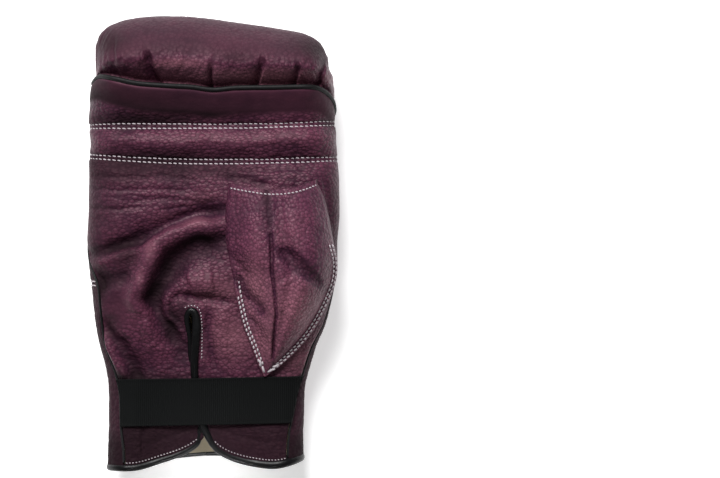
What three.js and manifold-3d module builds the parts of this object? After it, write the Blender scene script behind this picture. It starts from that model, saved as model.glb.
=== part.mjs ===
// A padded leather bag glove for the right hand, lying on its back with the palm up.
// X runs across the palm towards the thumb, Y from the cuff to the fingertips, Z up.
// The origin is under the middle of the outline, on the surface that the glove lies on.
import * as THREE from 'three';
import { mergeVertices } from 'three/addons/utils/BufferGeometryUtils.js';
import Module from 'manifold-3d';

// Sizes in millimetres.
const gloveLength = 260;
const gloveWidth = 143;
const palmHeight = 46;
const rollHeight = 62;
const sideReach = 20; // how far in from the side the skin takes to turn flat
const tipReach = 23; // the same at the fingertips
const leatherThickness = 2.2; // palm leather with its backing
const backPadding = 19; // foam and leather behind the hand
const sidePadding = 5;
const cuffWall = 3;
const pocketHeight = 22; // room for the fingers between back and roll
const tipPadding = 19;
const tuckedLength = 10; // how far the roll runs on under the palm panel
const clearance = 0.4; // between pieces that touch
const pipingDiameter = 2.8;
const bindingDiameter = 3.8;
const elasticWidth = 27;
const elasticThickness = 1.4;
const liningThickness = 1;
const thumbWall = 1.5;
const thumbRise = 13; // room for the thumb over the palm
const thumbFlange = 4; // sewn edge of the thumb piece
const thumbHoleWidth = 34;
const thumbHoleLength = 32;
const slitWidth = 4.6; // between the middles of the two bound edges
const eyeletWidth = 7.4; // the same in the round end of the slit
const pleatDepth = 2.2;
const pleatWidth = 6;
const seamDip = 4.2; // how deep the double seams pull the palm in
const seamDipWidth = 6.5;
const foldDepth = 2.6;

// The outline from above. "along" is a share of the length, from the cuff to the fingertips.
// "left" and "right" are shares of the width, from the centre line.
const outline = [
  { along: 0.0, left: -0.424, right: 0.362 },
  { along: 0.063, left: -0.42, right: 0.361 },
  { along: 0.116, left: -0.416, right: 0.365 },
  { along: 0.182, left: -0.416, right: 0.369 },
  { along: 0.221, left: -0.424, right: 0.384 },
  { along: 0.274, left: -0.452, right: 0.412 },
  { along: 0.326, left: -0.468, right: 0.448 },
  { along: 0.379, left: -0.48, right: 0.472 },
  { along: 0.444, left: -0.492, right: 0.496 },
  { along: 0.51, left: -0.5, right: 0.5 },
  { along: 0.597, left: -0.497, right: 0.5 },
  { along: 0.685, left: -0.489, right: 0.496 },
  { along: 0.729, left: -0.481, right: 0.49 },
  { along: 0.768, left: -0.492, right: 0.488 },
  { along: 0.851, left: -0.486, right: 0.488 },
  { along: 0.891, left: -0.47, right: 0.487 },
  { along: 0.93, left: -0.465, right: 0.484 },
  { along: 0.97, left: -0.464, right: 0.468 },
  { along: 1.0, left: -0.464, right: 0.46 },
];

// The profile from the side, as shares of the palm's height: the underside, the widest line and the top.
const profile = [
  { along: 0.0, under: 0.05, middle: 0.4, top: 0.73 },
  { along: 0.08, under: 0.08, middle: 0.41, top: 0.72 },
  { along: 0.16, under: 0.1, middle: 0.42, top: 0.7 },
  { along: 0.22, under: 0.07, middle: 0.44, top: 0.73 },
  { along: 0.3, under: 0.01, middle: 0.48, top: 0.83 },
  { along: 0.36, under: 0.0, middle: 0.51, top: 0.9 },
  { along: 0.42, under: 0.0, middle: 0.54, top: 0.95 },
  { along: 0.55, under: 0.0, middle: 0.56, top: 0.99 },
  { along: 0.65, under: 0.0, middle: 0.57, top: 1.0 },
  { along: 0.73, under: 0.0, middle: 0.58, top: 1.04 },
  { along: 0.8, under: 0.0, middle: 0.6, top: 1.08 },
  { along: 0.845, under: 0.0, middle: 0.62, top: 1.13 },
  { along: 1.0, under: 0.0, middle: 0.64, top: 1.13 },
];

// The roll's crown, as shares of its height: up from under the palm panel to its crest, which the tip rounds off.
const rollCrown = [
  { along: 0.8, height: 0.81 },
  { along: 0.832, height: 0.79 },
  { along: 0.846, height: 0.785 },
  { along: 0.854, height: 0.84 },
  { along: 0.864, height: 0.9 },
  { along: 0.875, height: 0.95 },
  { along: 0.887, height: 0.985 },
  { along: 0.9, height: 1.0 },
  { along: 0.92, height: 0.988 },
  { along: 0.95, height: 0.955 },
  { along: 1.0, height: 0.9 },
];

// Where the outline's ends lie, by the share of the half width from the middle: the fingertips and the cuff.
const tipEdge = [
  { across: -1.0, along: 0.945 },
  { across: -0.93, along: 0.972 },
  { across: -0.862, along: 0.982 },
  { across: -0.724, along: 0.993 },
  { across: -0.448, along: 1.0 },
  { across: -0.103, along: 0.9955 },
  { across: 0.31, along: 0.9825 },
  { across: 0.655, along: 0.969 },
  { across: 0.793, along: 0.962 },
  { across: 0.862, along: 0.954 },
  { across: 0.931, along: 0.941 },
  { across: 1.0, along: 0.91 },
];
const flapEdge = [
  { across: -1.0, along: 0.004 },
  { across: -0.7, along: 0.005 },
  { across: -0.47, along: 0.019 },
  { across: -0.21, along: 0.039 },
  { across: -0.06, along: 0.06 },
  { across: 0.005, along: 0.074 },
  { across: 0.07, along: 0.058 },
  { across: 0.14, along: 0.043 },
  { across: 0.28, along: 0.027 },
  { across: 0.49, along: 0.015 },
  { across: 0.71, along: 0.0105 },
  { across: 0.89, along: 0.018 },
  { across: 1.0, along: 0.026 },
];
const backEdge = [
  { across: -1.0, along: 0.004 },
  { across: -0.5, along: 0.022 },
  { across: 0.0, along: 0.034 },
  { across: 0.5, along: 0.031 },
  { across: 1.0, along: 0.026 },
];

// A "turn" is the way round a section: 0 is the middle of the palm, 1 the widest line, 2 the middle of the back.
// The palm panel's upper edge, and the side seams that join it to the back.
const panelEdge = [
  { turn: -1.2, along: 0.866 },
  { turn: -0.9, along: 0.874 },
  { turn: -0.78, along: 0.876 },
  { turn: -0.55, along: 0.86 },
  { turn: -0.41, along: 0.85 },
  { turn: -0.25, along: 0.845 },
  { turn: -0.1, along: 0.842 },
  { turn: 0.01, along: 0.836 },
  { turn: 0.12, along: 0.841 },
  { turn: 0.31, along: 0.8435 },
  { turn: 0.63, along: 0.847 },
  { turn: 0.74, along: 0.838 },
  { turn: 0.886, along: 0.816 },
  { turn: 1.0, along: 0.795 },
  { turn: 1.2, along: 0.775 },
];
const sideSeam = [
  { along: 0.0, left: -0.61, right: 0.64 },
  { along: 0.05, left: -0.625, right: 0.643 },
  { along: 0.1, left: -0.67, right: 0.66 },
  { along: 0.135, left: -0.68, right: 0.7 },
  { along: 0.173, left: -0.69, right: 0.745 },
  { along: 0.212, left: -0.73, right: 0.79 },
  { along: 0.28, left: -0.785, right: 0.83 },
  { along: 0.36, left: -0.775, right: 0.95 },
  { along: 0.42, left: -0.79, right: 1.04 },
  { along: 0.488, left: -1.0, right: 1.1 },
  { along: 0.56, left: -1.12, right: 1.12 },
  { along: 0.76, left: -1.12, right: 1.1 },
  { along: 0.88, left: -1.1, right: 1.1 },
];

const panelTop = 0.837; // the panel's edge in the middle

// The double seams that cross the palm: "along" at the left, in the middle and at the right.
const crossSeams = [
  { left: 0.757, middle: 0.757, right: 0.765 },
  { left: 0.693, middle: 0.68, right: 0.687 },
];

// The slit in the wrist: its middle line, and its width as a share from slit to eyelet.
const slit = [
  { along: -0.03, across: -0.03, open: 1.3 },
  { along: 0.055, across: -0.031, open: 1.2 },
  { along: 0.09, across: -0.034, open: 0.4 },
  { along: 0.112, across: -0.042, open: 0.0 },
  { along: 0.16, across: -0.058, open: 0.0 },
  { along: 0.208, across: -0.07, open: 0.0 },
  { along: 0.27, across: -0.072, open: 0.15 },
  { along: 0.32, across: -0.075, open: 0.85 },
  { along: 0.345, across: -0.078, open: 1.0 },
];

// The thumb piece, from the point of its seam to its mouth. "left" and "right" are turns on the palm.
// "rise" is its height as a share of the thumb's room.
const thumbSections = [
  { along: 0.224, left: 0.37, right: 0.42, rise: 0.0 },
  { along: 0.243, left: 0.31, right: 0.54, rise: 0.15 },
  { along: 0.28, left: 0.248, right: 0.62, rise: 0.45 },
  { along: 0.324, left: 0.188, right: 0.7, rise: 0.75 },
  { along: 0.379, left: 0.138, right: 0.78, rise: 0.95 },
  { along: 0.422, left: 0.11, right: 0.82, rise: 1.05 },
  { along: 0.462, left: 0.09, right: 0.81, rise: 1.1 },
  { along: 0.5, left: 0.075, right: 0.763, rise: 1.05 },
  { along: 0.55, left: 0.068, right: 0.716, rise: 0.95 },
  { along: 0.6, left: 0.075, right: 0.668, rise: 0.75 },
  { along: 0.634, left: 0.082, right: 0.613, rise: 0.5 },
];
const thumbMouth = [
  { across: -1.0, drop: 0.0 },
  { across: -0.6, drop: -0.009 },
  { across: -0.2, drop: -0.015 },
  { across: 0.25, drop: -0.012 },
  { across: 0.65, drop: -0.003 },
  { across: 1.0, drop: 0.008 },
];
const thumbSeamTop = 0.46; // above this share of the length the thumb piece is a tube

// Long folds in the palm leather: from, to, how deep as a share of the fold depth and how wide in shares of the
// width. One with a depth below 0 stands up.
const folds = [
  { fromAcross: -0.03, fromAlong: 0.49, toAcross: -0.17, toAlong: 0.46, depth: 0.9, width: 0.045 },
  { fromAcross: -0.23, fromAlong: 0.43, toAcross: -0.235, toAlong: 0.36, depth: 0.9, width: 0.045 },
  { fromAcross: -0.03, fromAlong: 0.57, toAcross: -0.4, toAlong: 0.5, depth: 1.0, width: 0.05 },
  { fromAcross: -0.03, fromAlong: 0.522, toAcross: -0.19, toAlong: 0.505, depth: -0.8, width: 0.045 },
  { fromAcross: -0.24, fromAlong: 0.48, toAcross: -0.285, toAlong: 0.38, depth: -0.8, width: 0.045 },
  { fromAcross: -0.16, fromAlong: 0.39, toAcross: 0.02, toAlong: 0.385, depth: 0.6, width: 0.03 },
  { fromAcross: -0.42, fromAlong: 0.33, toAcross: -0.31, toAlong: 0.23, depth: 0.6, width: 0.04 },
];

// Gathers in the roll: from the crest down to the palm panel.
const pleats = [
  { fromAcross: -0.385, fromAlong: 0.93, toAcross: -0.365, toAlong: 0.865, depth: 0.6 },
  { fromAcross: -0.245, fromAlong: 0.912, toAcross: -0.2, toAlong: 0.845, depth: 1.0 },
  { fromAcross: -0.01, fromAlong: 0.892, toAcross: -0.006, toAlong: 0.835, depth: 1.0 },
  { fromAcross: 0.2, fromAlong: 0.905, toAcross: 0.173, toAlong: 0.84, depth: 1.0 },
  { fromAcross: 0.342, fromAlong: 0.89, toAcross: 0.325, toAlong: 0.84, depth: 0.9 },
  { fromAcross: 0.415, fromAlong: 0.935, toAcross: 0.436, toAlong: 0.85, depth: 1.1 },
];

const smooth = THREE.MathUtils.smoothstep;
const mix = THREE.MathUtils.lerp;
const clamp = THREE.MathUtils.clamp;
const alongToY = (share) => (share - 0.5) * gloveLength;
const yToAlong = (y) => y / gloveLength + 0.5;

// A table's column at any value of its key, on a smooth curve through the rows.
function follow(rows, key, column, at) {
  const last = rows.length - 1;
  const place = clamp(at, rows[0][key], rows[last][key]);
  let i = 0;
  while (i < last - 1 && place > rows[i + 1][key]) i += 1;
  const slope = (k) => {
    const before = rows[Math.max(k - 1, 0)];
    const after = rows[Math.min(k + 1, last)];
    return (after[column] - before[column]) / (after[key] - before[key]);
  };
  const span = rows[i + 1][key] - rows[i][key];
  const s = (place - rows[i][key]) / span;
  const ease = s * s * (3 - 2 * s);
  const value = mix(rows[i][column], rows[i + 1][column], ease);
  const bend = s * (1 - s) * span;
  return value + bend * ((1 - s) * slope(i) - s * slope(i + 1));
}

// How far a skin has risen when it is this share of its reach in from the edge, as a quarter round.
function roundedEdge(share) {
  const inner = clamp(share, 0, 1);
  return Math.sqrt(1 - (1 - inner) ** 2);
}

// How deep a groove from one point to another is at a place, 1 on its line and fading over its width.
function groove(row, x, y, width) {
  const from = new THREE.Vector2(row.fromAcross * gloveWidth, alongToY(row.fromAlong));
  const to = new THREE.Vector2(row.toAcross * gloveWidth, alongToY(row.toAlong));
  const line = to.clone().sub(from);
  const here = new THREE.Vector2(x, y).sub(from);
  const share = clamp(here.dot(line) / line.lengthSq(), 0, 1);
  const away = here.distanceTo(line.multiplyScalar(share));
  return Math.exp(-((away / width) ** 2));
}

// How far along the glove a double seam crosses at this share of the width.
function crossSeamAlong(seam, across) {
  const side = across < 0 ? seam.left : seam.right;
  return mix(seam.middle, side, clamp(Math.abs(across) * 2, 0, 1) ** 2);
}

// The palm's height over the surface, with its seams and folds, where the sides have not yet turned down.
function palmCrown(x, y) {
  const along = yToAlong(y);
  let height = palmHeight * follow(profile, 'along', 'top', along);
  for (const seam of crossSeams) {
    const away = y - alongToY(crossSeamAlong(seam, x / gloveWidth));
    height -= seamDip * Math.exp(-((away / seamDipWidth) ** 2));
  }
  for (const fold of folds) height -= foldDepth * fold.depth * groove(fold, x, y, fold.width * gloveWidth);
  return height;
}

// The roll's height: it starts to rise where the palm panel ends, wherever that is across the glove.
function rollTop(x, y, along, turn) {
  const panelEnd = follow(panelEdge, 'turn', 'along', turn);
  const shift = (panelEnd - panelTop) * (1 - smooth(along, 0.87, 0.93));
  let height = rollHeight * follow(rollCrown, 'along', 'height', along - shift);
  for (const pleat of pleats) height -= pleatDepth * pleat.depth * groove(pleat, x, y, pleatWidth);
  return height;
}

// A point of a rounded body: "turn" goes round its section and "along" from the cuff to the tip.
function bodyPoint(form, turn, along) {
  const across = Math.sin((turn * Math.PI) / 2);
  const halfWidth = (form.right(along) - form.left(along)) / 2;
  const x = (form.right(along) + form.left(along)) / 2 + halfWidth * across;
  const tipShare = smooth(along, 0.8, 1) * (follow(tipEdge, 'across', 'along', across) - 1);
  const y = alongToY(along + tipShare);
  const fromSide = ((1 - Math.abs(across)) * halfWidth) / form.sideReach;
  const fromTip = ((form.tip - along) * gloveLength) / form.tipReach;
  const risen = roundedEdge(fromSide) * roundedEdge(fromTip);
  const middle = palmHeight * follow(profile, 'along', 'middle', along);
  const face = Math.abs(turn) <= 1 ? form.top(x, y, along, turn) : form.under(along);
  return new THREE.Vector3(x, y, mix(middle, face, risen));
}

const outerForm = {
  left: (along) => gloveWidth * follow(outline, 'along', 'left', along),
  right: (along) => gloveWidth * follow(outline, 'along', 'right', along),
  top: palmCrown,
  under: (along) => palmHeight * follow(profile, 'along', 'under', along),
  sideReach,
  tipReach,
  tip: 1,
};

// The back's own form has the padded roll on top instead of the palm, from where its tucked end starts.
const tuckStart = panelTop - tuckedLength / gloveLength;
const backForm = {
  ...outerForm,
  top: (x, y, along, turn) => (along > tuckStart - 0.02 ? rollTop(x, y, along, turn) : palmCrown(x, y)),
};

// The room for the hand, inside the padding.
const wallAt = (along) => mix(cuffWall, sidePadding, smooth(along, 0.25, 0.45));
const floorAt = (along) => mix(cuffWall + liningThickness, backPadding, smooth(along, 0.34, 0.46));
const handForm = {
  left: (along) => outerForm.left(along) + wallAt(along),
  right: (along) => outerForm.right(along) - wallAt(along),
  top: (x, y, along) => {
    const underPanel = palmCrown(x, y) - leatherThickness + clearance;
    return mix(underPanel, backPadding + pocketHeight, smooth(along, tuckStart - 0.006, tuckStart));
  },
  under: (along) => outerForm.under(along) + floorAt(along),
  sideReach: sideReach - sidePadding,
  tipReach: tipReach / 2,
  tip: 1 - tipPadding / gloveLength,
};

// The outward direction of a body's skin.
function skinNormal(form, turn, along) {
  const step = 0.004;
  const round = bodyPoint(form, turn + step, along).sub(bodyPoint(form, turn - step, along));
  const forward = bodyPoint(form, turn, along + step).sub(bodyPoint(form, turn, along - step));
  return round.cross(forward).normalize();
}

// A point this far outside the skin, or inside it if the distance is negative.
function offSkin(turn, along, distance, form = outerForm) {
  return bodyPoint(form, turn, along).addScaledVector(skinNormal(form, turn, along), distance);
}

// A closed geometry between an upper and a lower surface, each a function of two shares.
function slab(upper, lower, columns, rows) {
  const positions = [];
  const faces = [];
  const stride = columns + 1;
  for (const surface of [upper, lower]) {
    for (let j = 0; j <= rows; j += 1) {
      for (let i = 0; i <= columns; i += 1) positions.push(...surface(i / columns, j / rows));
    }
  }
  const below = stride * (rows + 1);
  const quad = (a, b, c, d) => faces.push(a, b, c, a, c, d);
  for (let j = 0; j < rows; j += 1) {
    for (let i = 0; i < columns; i += 1) {
      const a = j * stride + i;
      quad(a, a + 1, a + 1 + stride, a + stride);
      quad(below + a + stride, below + a + 1 + stride, below + a + 1, below + a);
    }
    const left = j * stride;
    const right = left + columns;
    quad(below + left + stride, below + left, left, left + stride);
    quad(below + right, below + right + stride, right + stride, right);
  }
  for (let i = 0; i < columns; i += 1) {
    const far = rows * stride + i;
    quad(below + i, below + i + 1, i + 1, i);
    quad(below + far + 1, below + far, far, far + 1);
  }
  const geometry = new THREE.BufferGeometry();
  geometry.setAttribute('position', new THREE.Float32BufferAttribute(positions, 3));
  geometry.setIndex(faces);
  return geometry;
}

const wasm = await Module();
wasm.setup();

// A closed three.js geometry as a solid that can be joined and cut.
function toSolid(geometry) {
  const plain = geometry.clone();
  plain.deleteAttribute('normal');
  plain.deleteAttribute('uv');
  const merged = mergeVertices(plain, 1e-4);
  const index = merged.index.array;
  const kept = [];
  for (let i = 0; i < index.length; i += 3) {
    const [a, b, c] = index.slice(i, i + 3);
    if (a !== b && b !== c && c !== a) kept.push(a, b, c);
  }
  const solid = new wasm.Manifold(
    new wasm.Mesh({
      numProp: 3,
      vertProperties: new Float32Array(merged.attributes.position.array),
      triVerts: new Uint32Array(kept),
    }),
  );
  return solid;
}

function toGeometry(solid) {
  const mesh = solid.getMesh();
  const geometry = new THREE.BufferGeometry();
  geometry.setAttribute('position', new THREE.Float32BufferAttribute(mesh.vertProperties, 3));
  geometry.setIndex([...mesh.triVerts]);
  geometry.computeVertexNormals();
  return geometry;
}

// A round strip along a line of points.
function strip(points, diameter, steps, sides) {
  const section = new THREE.Shape();
  section.absarc(0, 0, diameter / 2, 0, Math.PI * 2);
  const extrudePath = new THREE.CatmullRomCurve3(points);
  return new THREE.ExtrudeGeometry(section, { steps, extrudePath, curveSegments: sides / 2 });
}

// How much of a turn, or of the length, a distance on the skin is.
const shareOf = (distance) => distance / gloveLength;
function turnOf(distance, turn, along) {
  const step = 0.01;
  const before = bodyPoint(outerForm, turn - step, along);
  return (distance * 2 * step) / before.distanceTo(bodyPoint(outerForm, turn + step, along));
}

// The turns of the two side seams, moved in towards the palm by some room.
function betweenSeams(along, room) {
  const left = follow(sideSeam, 'along', 'left', along);
  const right = follow(sideSeam, 'along', 'right', along);
  return { left: left + turnOf(room, left, along), right: right - turnOf(room, right, along) };
}

// A place on the palm panel by two shares, kept this far in from its edges.
const slitMiddle = (along) => gloveWidth * follow(slit, 'along', 'across', along);
function panelPlace(u, v, edgeRoom, cuffRoom) {
  const guess = mix(0.05, 0.84, v);
  const turnAt = (along) => {
    const { left, right } = betweenSeams(along, edgeRoom);
    return mix(left, right, u);
  };
  let turn = turnAt(guess);
  let along = guess;
  for (let pass = 0; pass < 4; pass += 1) {
    const low = follow(flapEdge, 'across', 'along', Math.sin((turn * Math.PI) / 2)) + shareOf(cuffRoom);
    const high = follow(panelEdge, 'turn', 'along', turn) - shareOf(edgeRoom);
    along = mix(low, high, v);
    turn = turnAt(along);
  }
  return { turn, along };
}

// A sheet that follows the palm panel's shape between two distances from the skin.
function panelSheet(outside, inside, edgeRoom, cuffRoom, columns, rows) {
  const surface = (distance) => (u, v) => {
    const { turn, along } = panelPlace(u, v, edgeRoom, cuffRoom);
    return offSkin(turn, along, typeof distance === 'function' ? distance(along) : distance);
  };
  return slab(surface(outside), surface(inside), columns, rows);
}

// A closed body, open to no side. "spread" sets how its rows are shared out along the length.
function pillow(form, fromAlong, spread, columns, rows) {
  const surface = (side) => (u, v) => {
    const turn = 2 * u - 1;
    const across = Math.sin((turn * Math.PI) / 2);
    const along = mix(fromAlong(across), form.tip, spread(v));
    const place = side > 0 ? turn : Math.sign(turn || 1) * 2 - turn;
    return bodyPoint(form, place, along);
  };
  return slab(surface(1), surface(-1), columns, rows);
}

const seamRoom = pipingDiameter / 2 + clearance * 2.5;
const bindingRoom = bindingDiameter + clearance * 2;

// The opening for the slit, from one side of the palm panel to the other.
function slitCut() {
  const halfWidth = (along) => {
    const open = follow(slit, 'along', 'open', along);
    return mix(slitWidth, eyeletWidth, open) / 2 + bindingDiameter / 2 + clearance * 2;
  };
  const eyelet = slit[slit.length - 1].along;
  const top = eyelet + shareOf(eyeletWidth / 2 + bindingDiameter / 2 + clearance * 1.5);
  const surface = (height) => (u, v) => {
    const along = mix(slit[0].along, top, Math.sin((v * Math.PI) / 2));
    const past = clamp((along - eyelet) / (top - eyelet), 0, 1);
    const reach = halfWidth(along) * Math.max(Math.sqrt(1 - past ** 2), 0.3);
    return new THREE.Vector3(slitMiddle(along) + mix(-reach, reach, u), alongToY(along), height);
  };
  return slab(surface(rollHeight), surface(palmHeight / 2), 1, 16);
}

// The hole through which the thumb leaves the hand's room.
function thumbHole(grow = 0) {
  const hole = new THREE.CylinderGeometry(0.5, 0.5, palmHeight, 20);
  hole.rotateX(Math.PI / 2);
  hole.scale(thumbHoleWidth + grow, thumbHoleLength + grow, 1);
  const { left, right } = thumbAt(0.5, 0.375);
  const middle = bodyPoint(outerForm, (left + right) / 2, 0.375);
  hole.translate(middle.x, middle.y, palmHeight);
  return hole;
}

// The thumb piece's side turns at a share of the length.
function thumbAt(u, along) {
  const left = follow(thumbSections, 'along', 'left', along);
  const right = follow(thumbSections, 'along', 'right', along);
  return { left, right, turn: mix(left, right, u) };
}

// A surface of the thumb piece, this far off the palm's skin and then raised straight up.
function thumbSurface(inset, fromAlong, toAlong, offsetAt, riseAt) {
  return (u, v) => {
    const across = 2 * u - 1;
    const mouth = follow(thumbMouth, 'across', 'drop', across);
    const along = mix(fromAlong, toAlong, v) + smooth(v, 0.5, 1) * mouth;
    const { left, right } = thumbAt(0, along);
    const most = (right - left) * 0.4;
    const fromLeft = Math.min(turnOf(inset(along), left, along), most);
    const fromRight = Math.min(turnOf(inset(along), right, along), most);
    const turn = mix(left + fromLeft, right - fromRight, u);
    const share = ((turn - left) / (right - left)) * 2 - 1;
    const point = offSkin(turn, along, offsetAt(along));
    point.z += riseAt(share, along);
    return point;
  };
}

// How far the thumb piece rises: flat at its sewn edge and domed between, with a crease down its middle.
function thumbDome(share, along) {
  const sewn = 1 - smooth(along, thumbSeamTop - 0.03, thumbSeamTop + 0.04);
  const { left, right } = thumbAt(0, along);
  const flange = (sewn * turnOf(thumbFlange, right, along) * 2) / (right - left);
  const inner = clamp(Math.abs(share) / Math.max(1 - flange, 0.1), 0, 1);
  const dome = 1 - inner ** 2.2;
  const crease = 0.28 * Math.exp(-(((share + 0.08) / 0.16) ** 2));
  const rise = thumbRise * follow(thumbSections, 'along', 'rise', along);
  return Math.max(rise, 0) * dome * (1 - crease);
}

function makeThumb() {
  const low = thumbSections[0].along;
  const high = thumbSections[thumbSections.length - 1].along;
  const flat = () => 0;
  const outer = slab(
    thumbSurface(flat, low, high, () => clearance + thumbWall * 2, thumbDome),
    thumbSurface(flat, low, high, () => clearance, flat),
    12,
    12,
  );
  const sewnShare = (along) => 1 - smooth(along, thumbSeamTop - 0.02, thumbSeamTop + 0.01);
  const inset = (along) => mix(thumbWall * 1.2, thumbFlange * 1.1, sewnShare(along));
  const innerLow = low + 0.03;
  const innerHigh = high + 0.03;
  const floor = (along) => mix(clearance + thumbWall, -clearance, sewnShare(along));
  const inner = slab(
    thumbSurface(inset, innerLow, innerHigh, () => clearance + thumbWall, thumbDome),
    thumbSurface(inset, innerLow, innerHigh, floor, flat),
    8,
    10,
  );
  return toSolid(outer).subtract(toSolid(inner));
}

function makePalm() {
  const sheet = panelSheet(0, -leatherThickness, seamRoom, bindingRoom, 22, 26);
  const cuts = [slitCut(), thumbHole()];
  return cuts.reduce((solid, cut) => solid.subtract(toSolid(cut)), toSolid(sheet));
}

// The back's rows: far apart over the palm, close together where the roll rises and at the fingertips.
function outerSpread(v) {
  const rise = { from: 0.42, to: 0.74, low: 0.815, high: 0.93 };
  if (v < rise.from) return mix(0, rise.low, v / rise.from);
  if (v < rise.to) return mix(rise.low, rise.high, (v - rise.from) / (rise.to - rise.from));
  return mix(rise.high, 1, Math.sin((((v - rise.to) / (1 - rise.to)) * Math.PI) / 2));
}

function makeBack() {
  const fromEdge = (across) => follow(backEdge, 'across', 'along', across) + shareOf(bindingRoom);
  const outer = toSolid(pillow(backForm, fromEdge, outerSpread, 30, 26));
  const room = pillow(handForm, () => -0.04, (v) => Math.sin((v * Math.PI) / 2), 16, 14);
  const depth = (along) =>
    -leatherThickness - clearance * 1.6 - sidePadding * (1 - smooth(along, tuckStart - 0.02, tuckStart - 0.008));
  const overPanel = panelSheet(leatherThickness * 3, depth, -seamRoom - clearance * 1.6, -bindingDiameter * 3, 20, 20);
  const underLining = lining(-clearance * 2, liningThickness * 4);
  const cuts = [room, overPanel, underLining];
  return cuts.reduce((solid, cut) => solid.subtract(toSolid(cut)), outer);
}

// The binding: round the back's edge, along one flap, up and down the slit and along the other flap.
function binding() {
  const cuffPoint = (turn) => {
    const across = Math.sin((turn * Math.PI) / 2);
    const edge = Math.abs(turn) < 1 ? flapEdge : backEdge;
    const along = follow(edge, 'across', 'along', across) + shareOf(bindingDiameter / 2);
    return offSkin(turn, along, -leatherThickness / 2);
  };
  const slitTurn = 0.045;
  const lastTurn = 1.995;
  const cuffSteps = 20;
  const points = [];
  for (let i = 0; i <= cuffSteps; i += 1) points.push(cuffPoint(mix(-lastTurn, -slitTurn, i / cuffSteps)));
  const top = slit[slit.length - 1];
  const side = (along, sign) => {
    const halfWidth = mix(slitWidth, eyeletWidth, follow(slit, 'along', 'open', along)) / 2;
    const x = slitMiddle(along) + sign * halfWidth;
    return new THREE.Vector3(x, alongToY(along), palmCrown(x, alongToY(along)) - leatherThickness / 2);
  };
  const first = 0.09;
  const slitSteps = 9;
  for (let i = 0; i <= slitSteps; i += 1) points.push(side(mix(first, top.along, i / slitSteps), -1));
  for (const angle of [0.75, 0.5, 0.25]) {
    const x = slitMiddle(top.along) + (Math.cos(angle * Math.PI) * eyeletWidth) / 2;
    const y = alongToY(top.along) + (Math.sin(angle * Math.PI) * eyeletWidth) / 2;
    points.push(new THREE.Vector3(x, y, palmCrown(x, y) - leatherThickness / 2));
  }
  for (let i = slitSteps; i >= 0; i -= 1) points.push(side(mix(first, top.along, i / slitSteps), 1));
  for (let i = cuffSteps; i >= 0; i -= 1) points.push(cuffPoint(mix(lastTurn, slitTurn, i / cuffSteps)));
  return strip(points, bindingDiameter, 84, 6);
}

// The piping: up the left seam, across the palm panel's upper edge and down the right seam.
function piping() {
  const place = (u, v) => {
    const { turn, along } = panelPlace(u, v, 0, bindingDiameter + pipingDiameter / 2);
    return offSkin(turn, along, pipingDiameter / 2 + clearance - leatherThickness);
  };
  const steps = 18;
  const points = [];
  for (let i = 0; i < steps; i += 1) points.push(place(0, i / steps));
  points.push(place(0, 0.994));
  for (let i = 0; i <= steps; i += 1) points.push(place(mix(0.006, 0.994, i / steps), 1));
  points.push(place(1, 0.994));
  for (let i = steps - 1; i >= 0; i -= 1) points.push(place(1, i / steps));
  return strip(points, pipingDiameter, 104, 6);
}

// The elastic: from one side seam to the other, over the slit's binding.
function makeElastic() {
  const middleAt = (u) => mix(0.153, 0.161, u);
  const surface = (thickness) => (u, v) => {
    const along = middleAt(u) + shareOf(elasticWidth) * (v - 0.5);
    const { left, right } = betweenSeams(along, seamRoom);
    const turn = mix(left, right, u);
    const x = bodyPoint(outerForm, turn, along).x;
    const overBinding = bindingDiameter / 2 - leatherThickness / 2;
    const lift = overBinding * Math.exp(-(((x - slitMiddle(along)) / (bindingDiameter * 4)) ** 2));
    return offSkin(turn, along, clearance * 1.5 + lift + thickness);
  };
  return toSolid(slab(surface(elasticThickness), surface(0), 20, 2));
}

// The lining that shows in the cuff, between two distances inside the back's inner wall.
function lining(near = clearance, far = clearance + liningThickness) {
  const surface = (inward) => (u, v) => {
    const bend = 2 * u - 1;
    const turn = bend < 0 ? -2 - bend : 2 - bend;
    const across = Math.sin((turn * Math.PI) / 2);
    const from = follow(backEdge, 'across', 'along', across) + shareOf(bindingRoom);
    const along = mix(from, 0.6, v);
    return offSkin(turn, along, -inward, handForm);
  };
  return slab(surface(far), surface(near), 12, 10);
}

const leather = { color: 0x4a2536, roughness: 0.5, metalness: 0 };
const blackLeather = { color: 0x1b1b1c, roughness: 0.45, metalness: 0 };
const glove = new THREE.Group();

function addPiece(name, solid, look) {
  const piece = new THREE.Mesh(toGeometry(solid), new THREE.MeshStandardMaterial(look));
  piece.name = name;
  glove.add(piece);
}

addPiece('padded_back', makeBack(), leather);
addPiece('palm_panel', makePalm(), leather);
addPiece('thumb_sleeve', makeThumb(), leather);
addPiece('wrist_elastic', makeElastic(), { color: 0x121516, roughness: 0.8, metalness: 0 });
addPiece('seam_piping', toSolid(piping()), blackLeather);
addPiece('edge_binding', toSolid(binding()), blackLeather);
addPiece('cuff_lining', toSolid(lining()), { color: 0xa89c7c, roughness: 0.9, metalness: 0 });

export default glove;
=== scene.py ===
"""A padded leather bag glove for the right hand, lying on its back with the palm up.

Every piece follows the glove's own skin: a "turn" goes round its section, where 0 is the middle of the palm,
1 the widest line and 2 the middle of the back, and "along" is the share of its length from cuff to fingertips.
Shapes are worked out in millimetres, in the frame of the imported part, and stored in metres.
"""

import math

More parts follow.
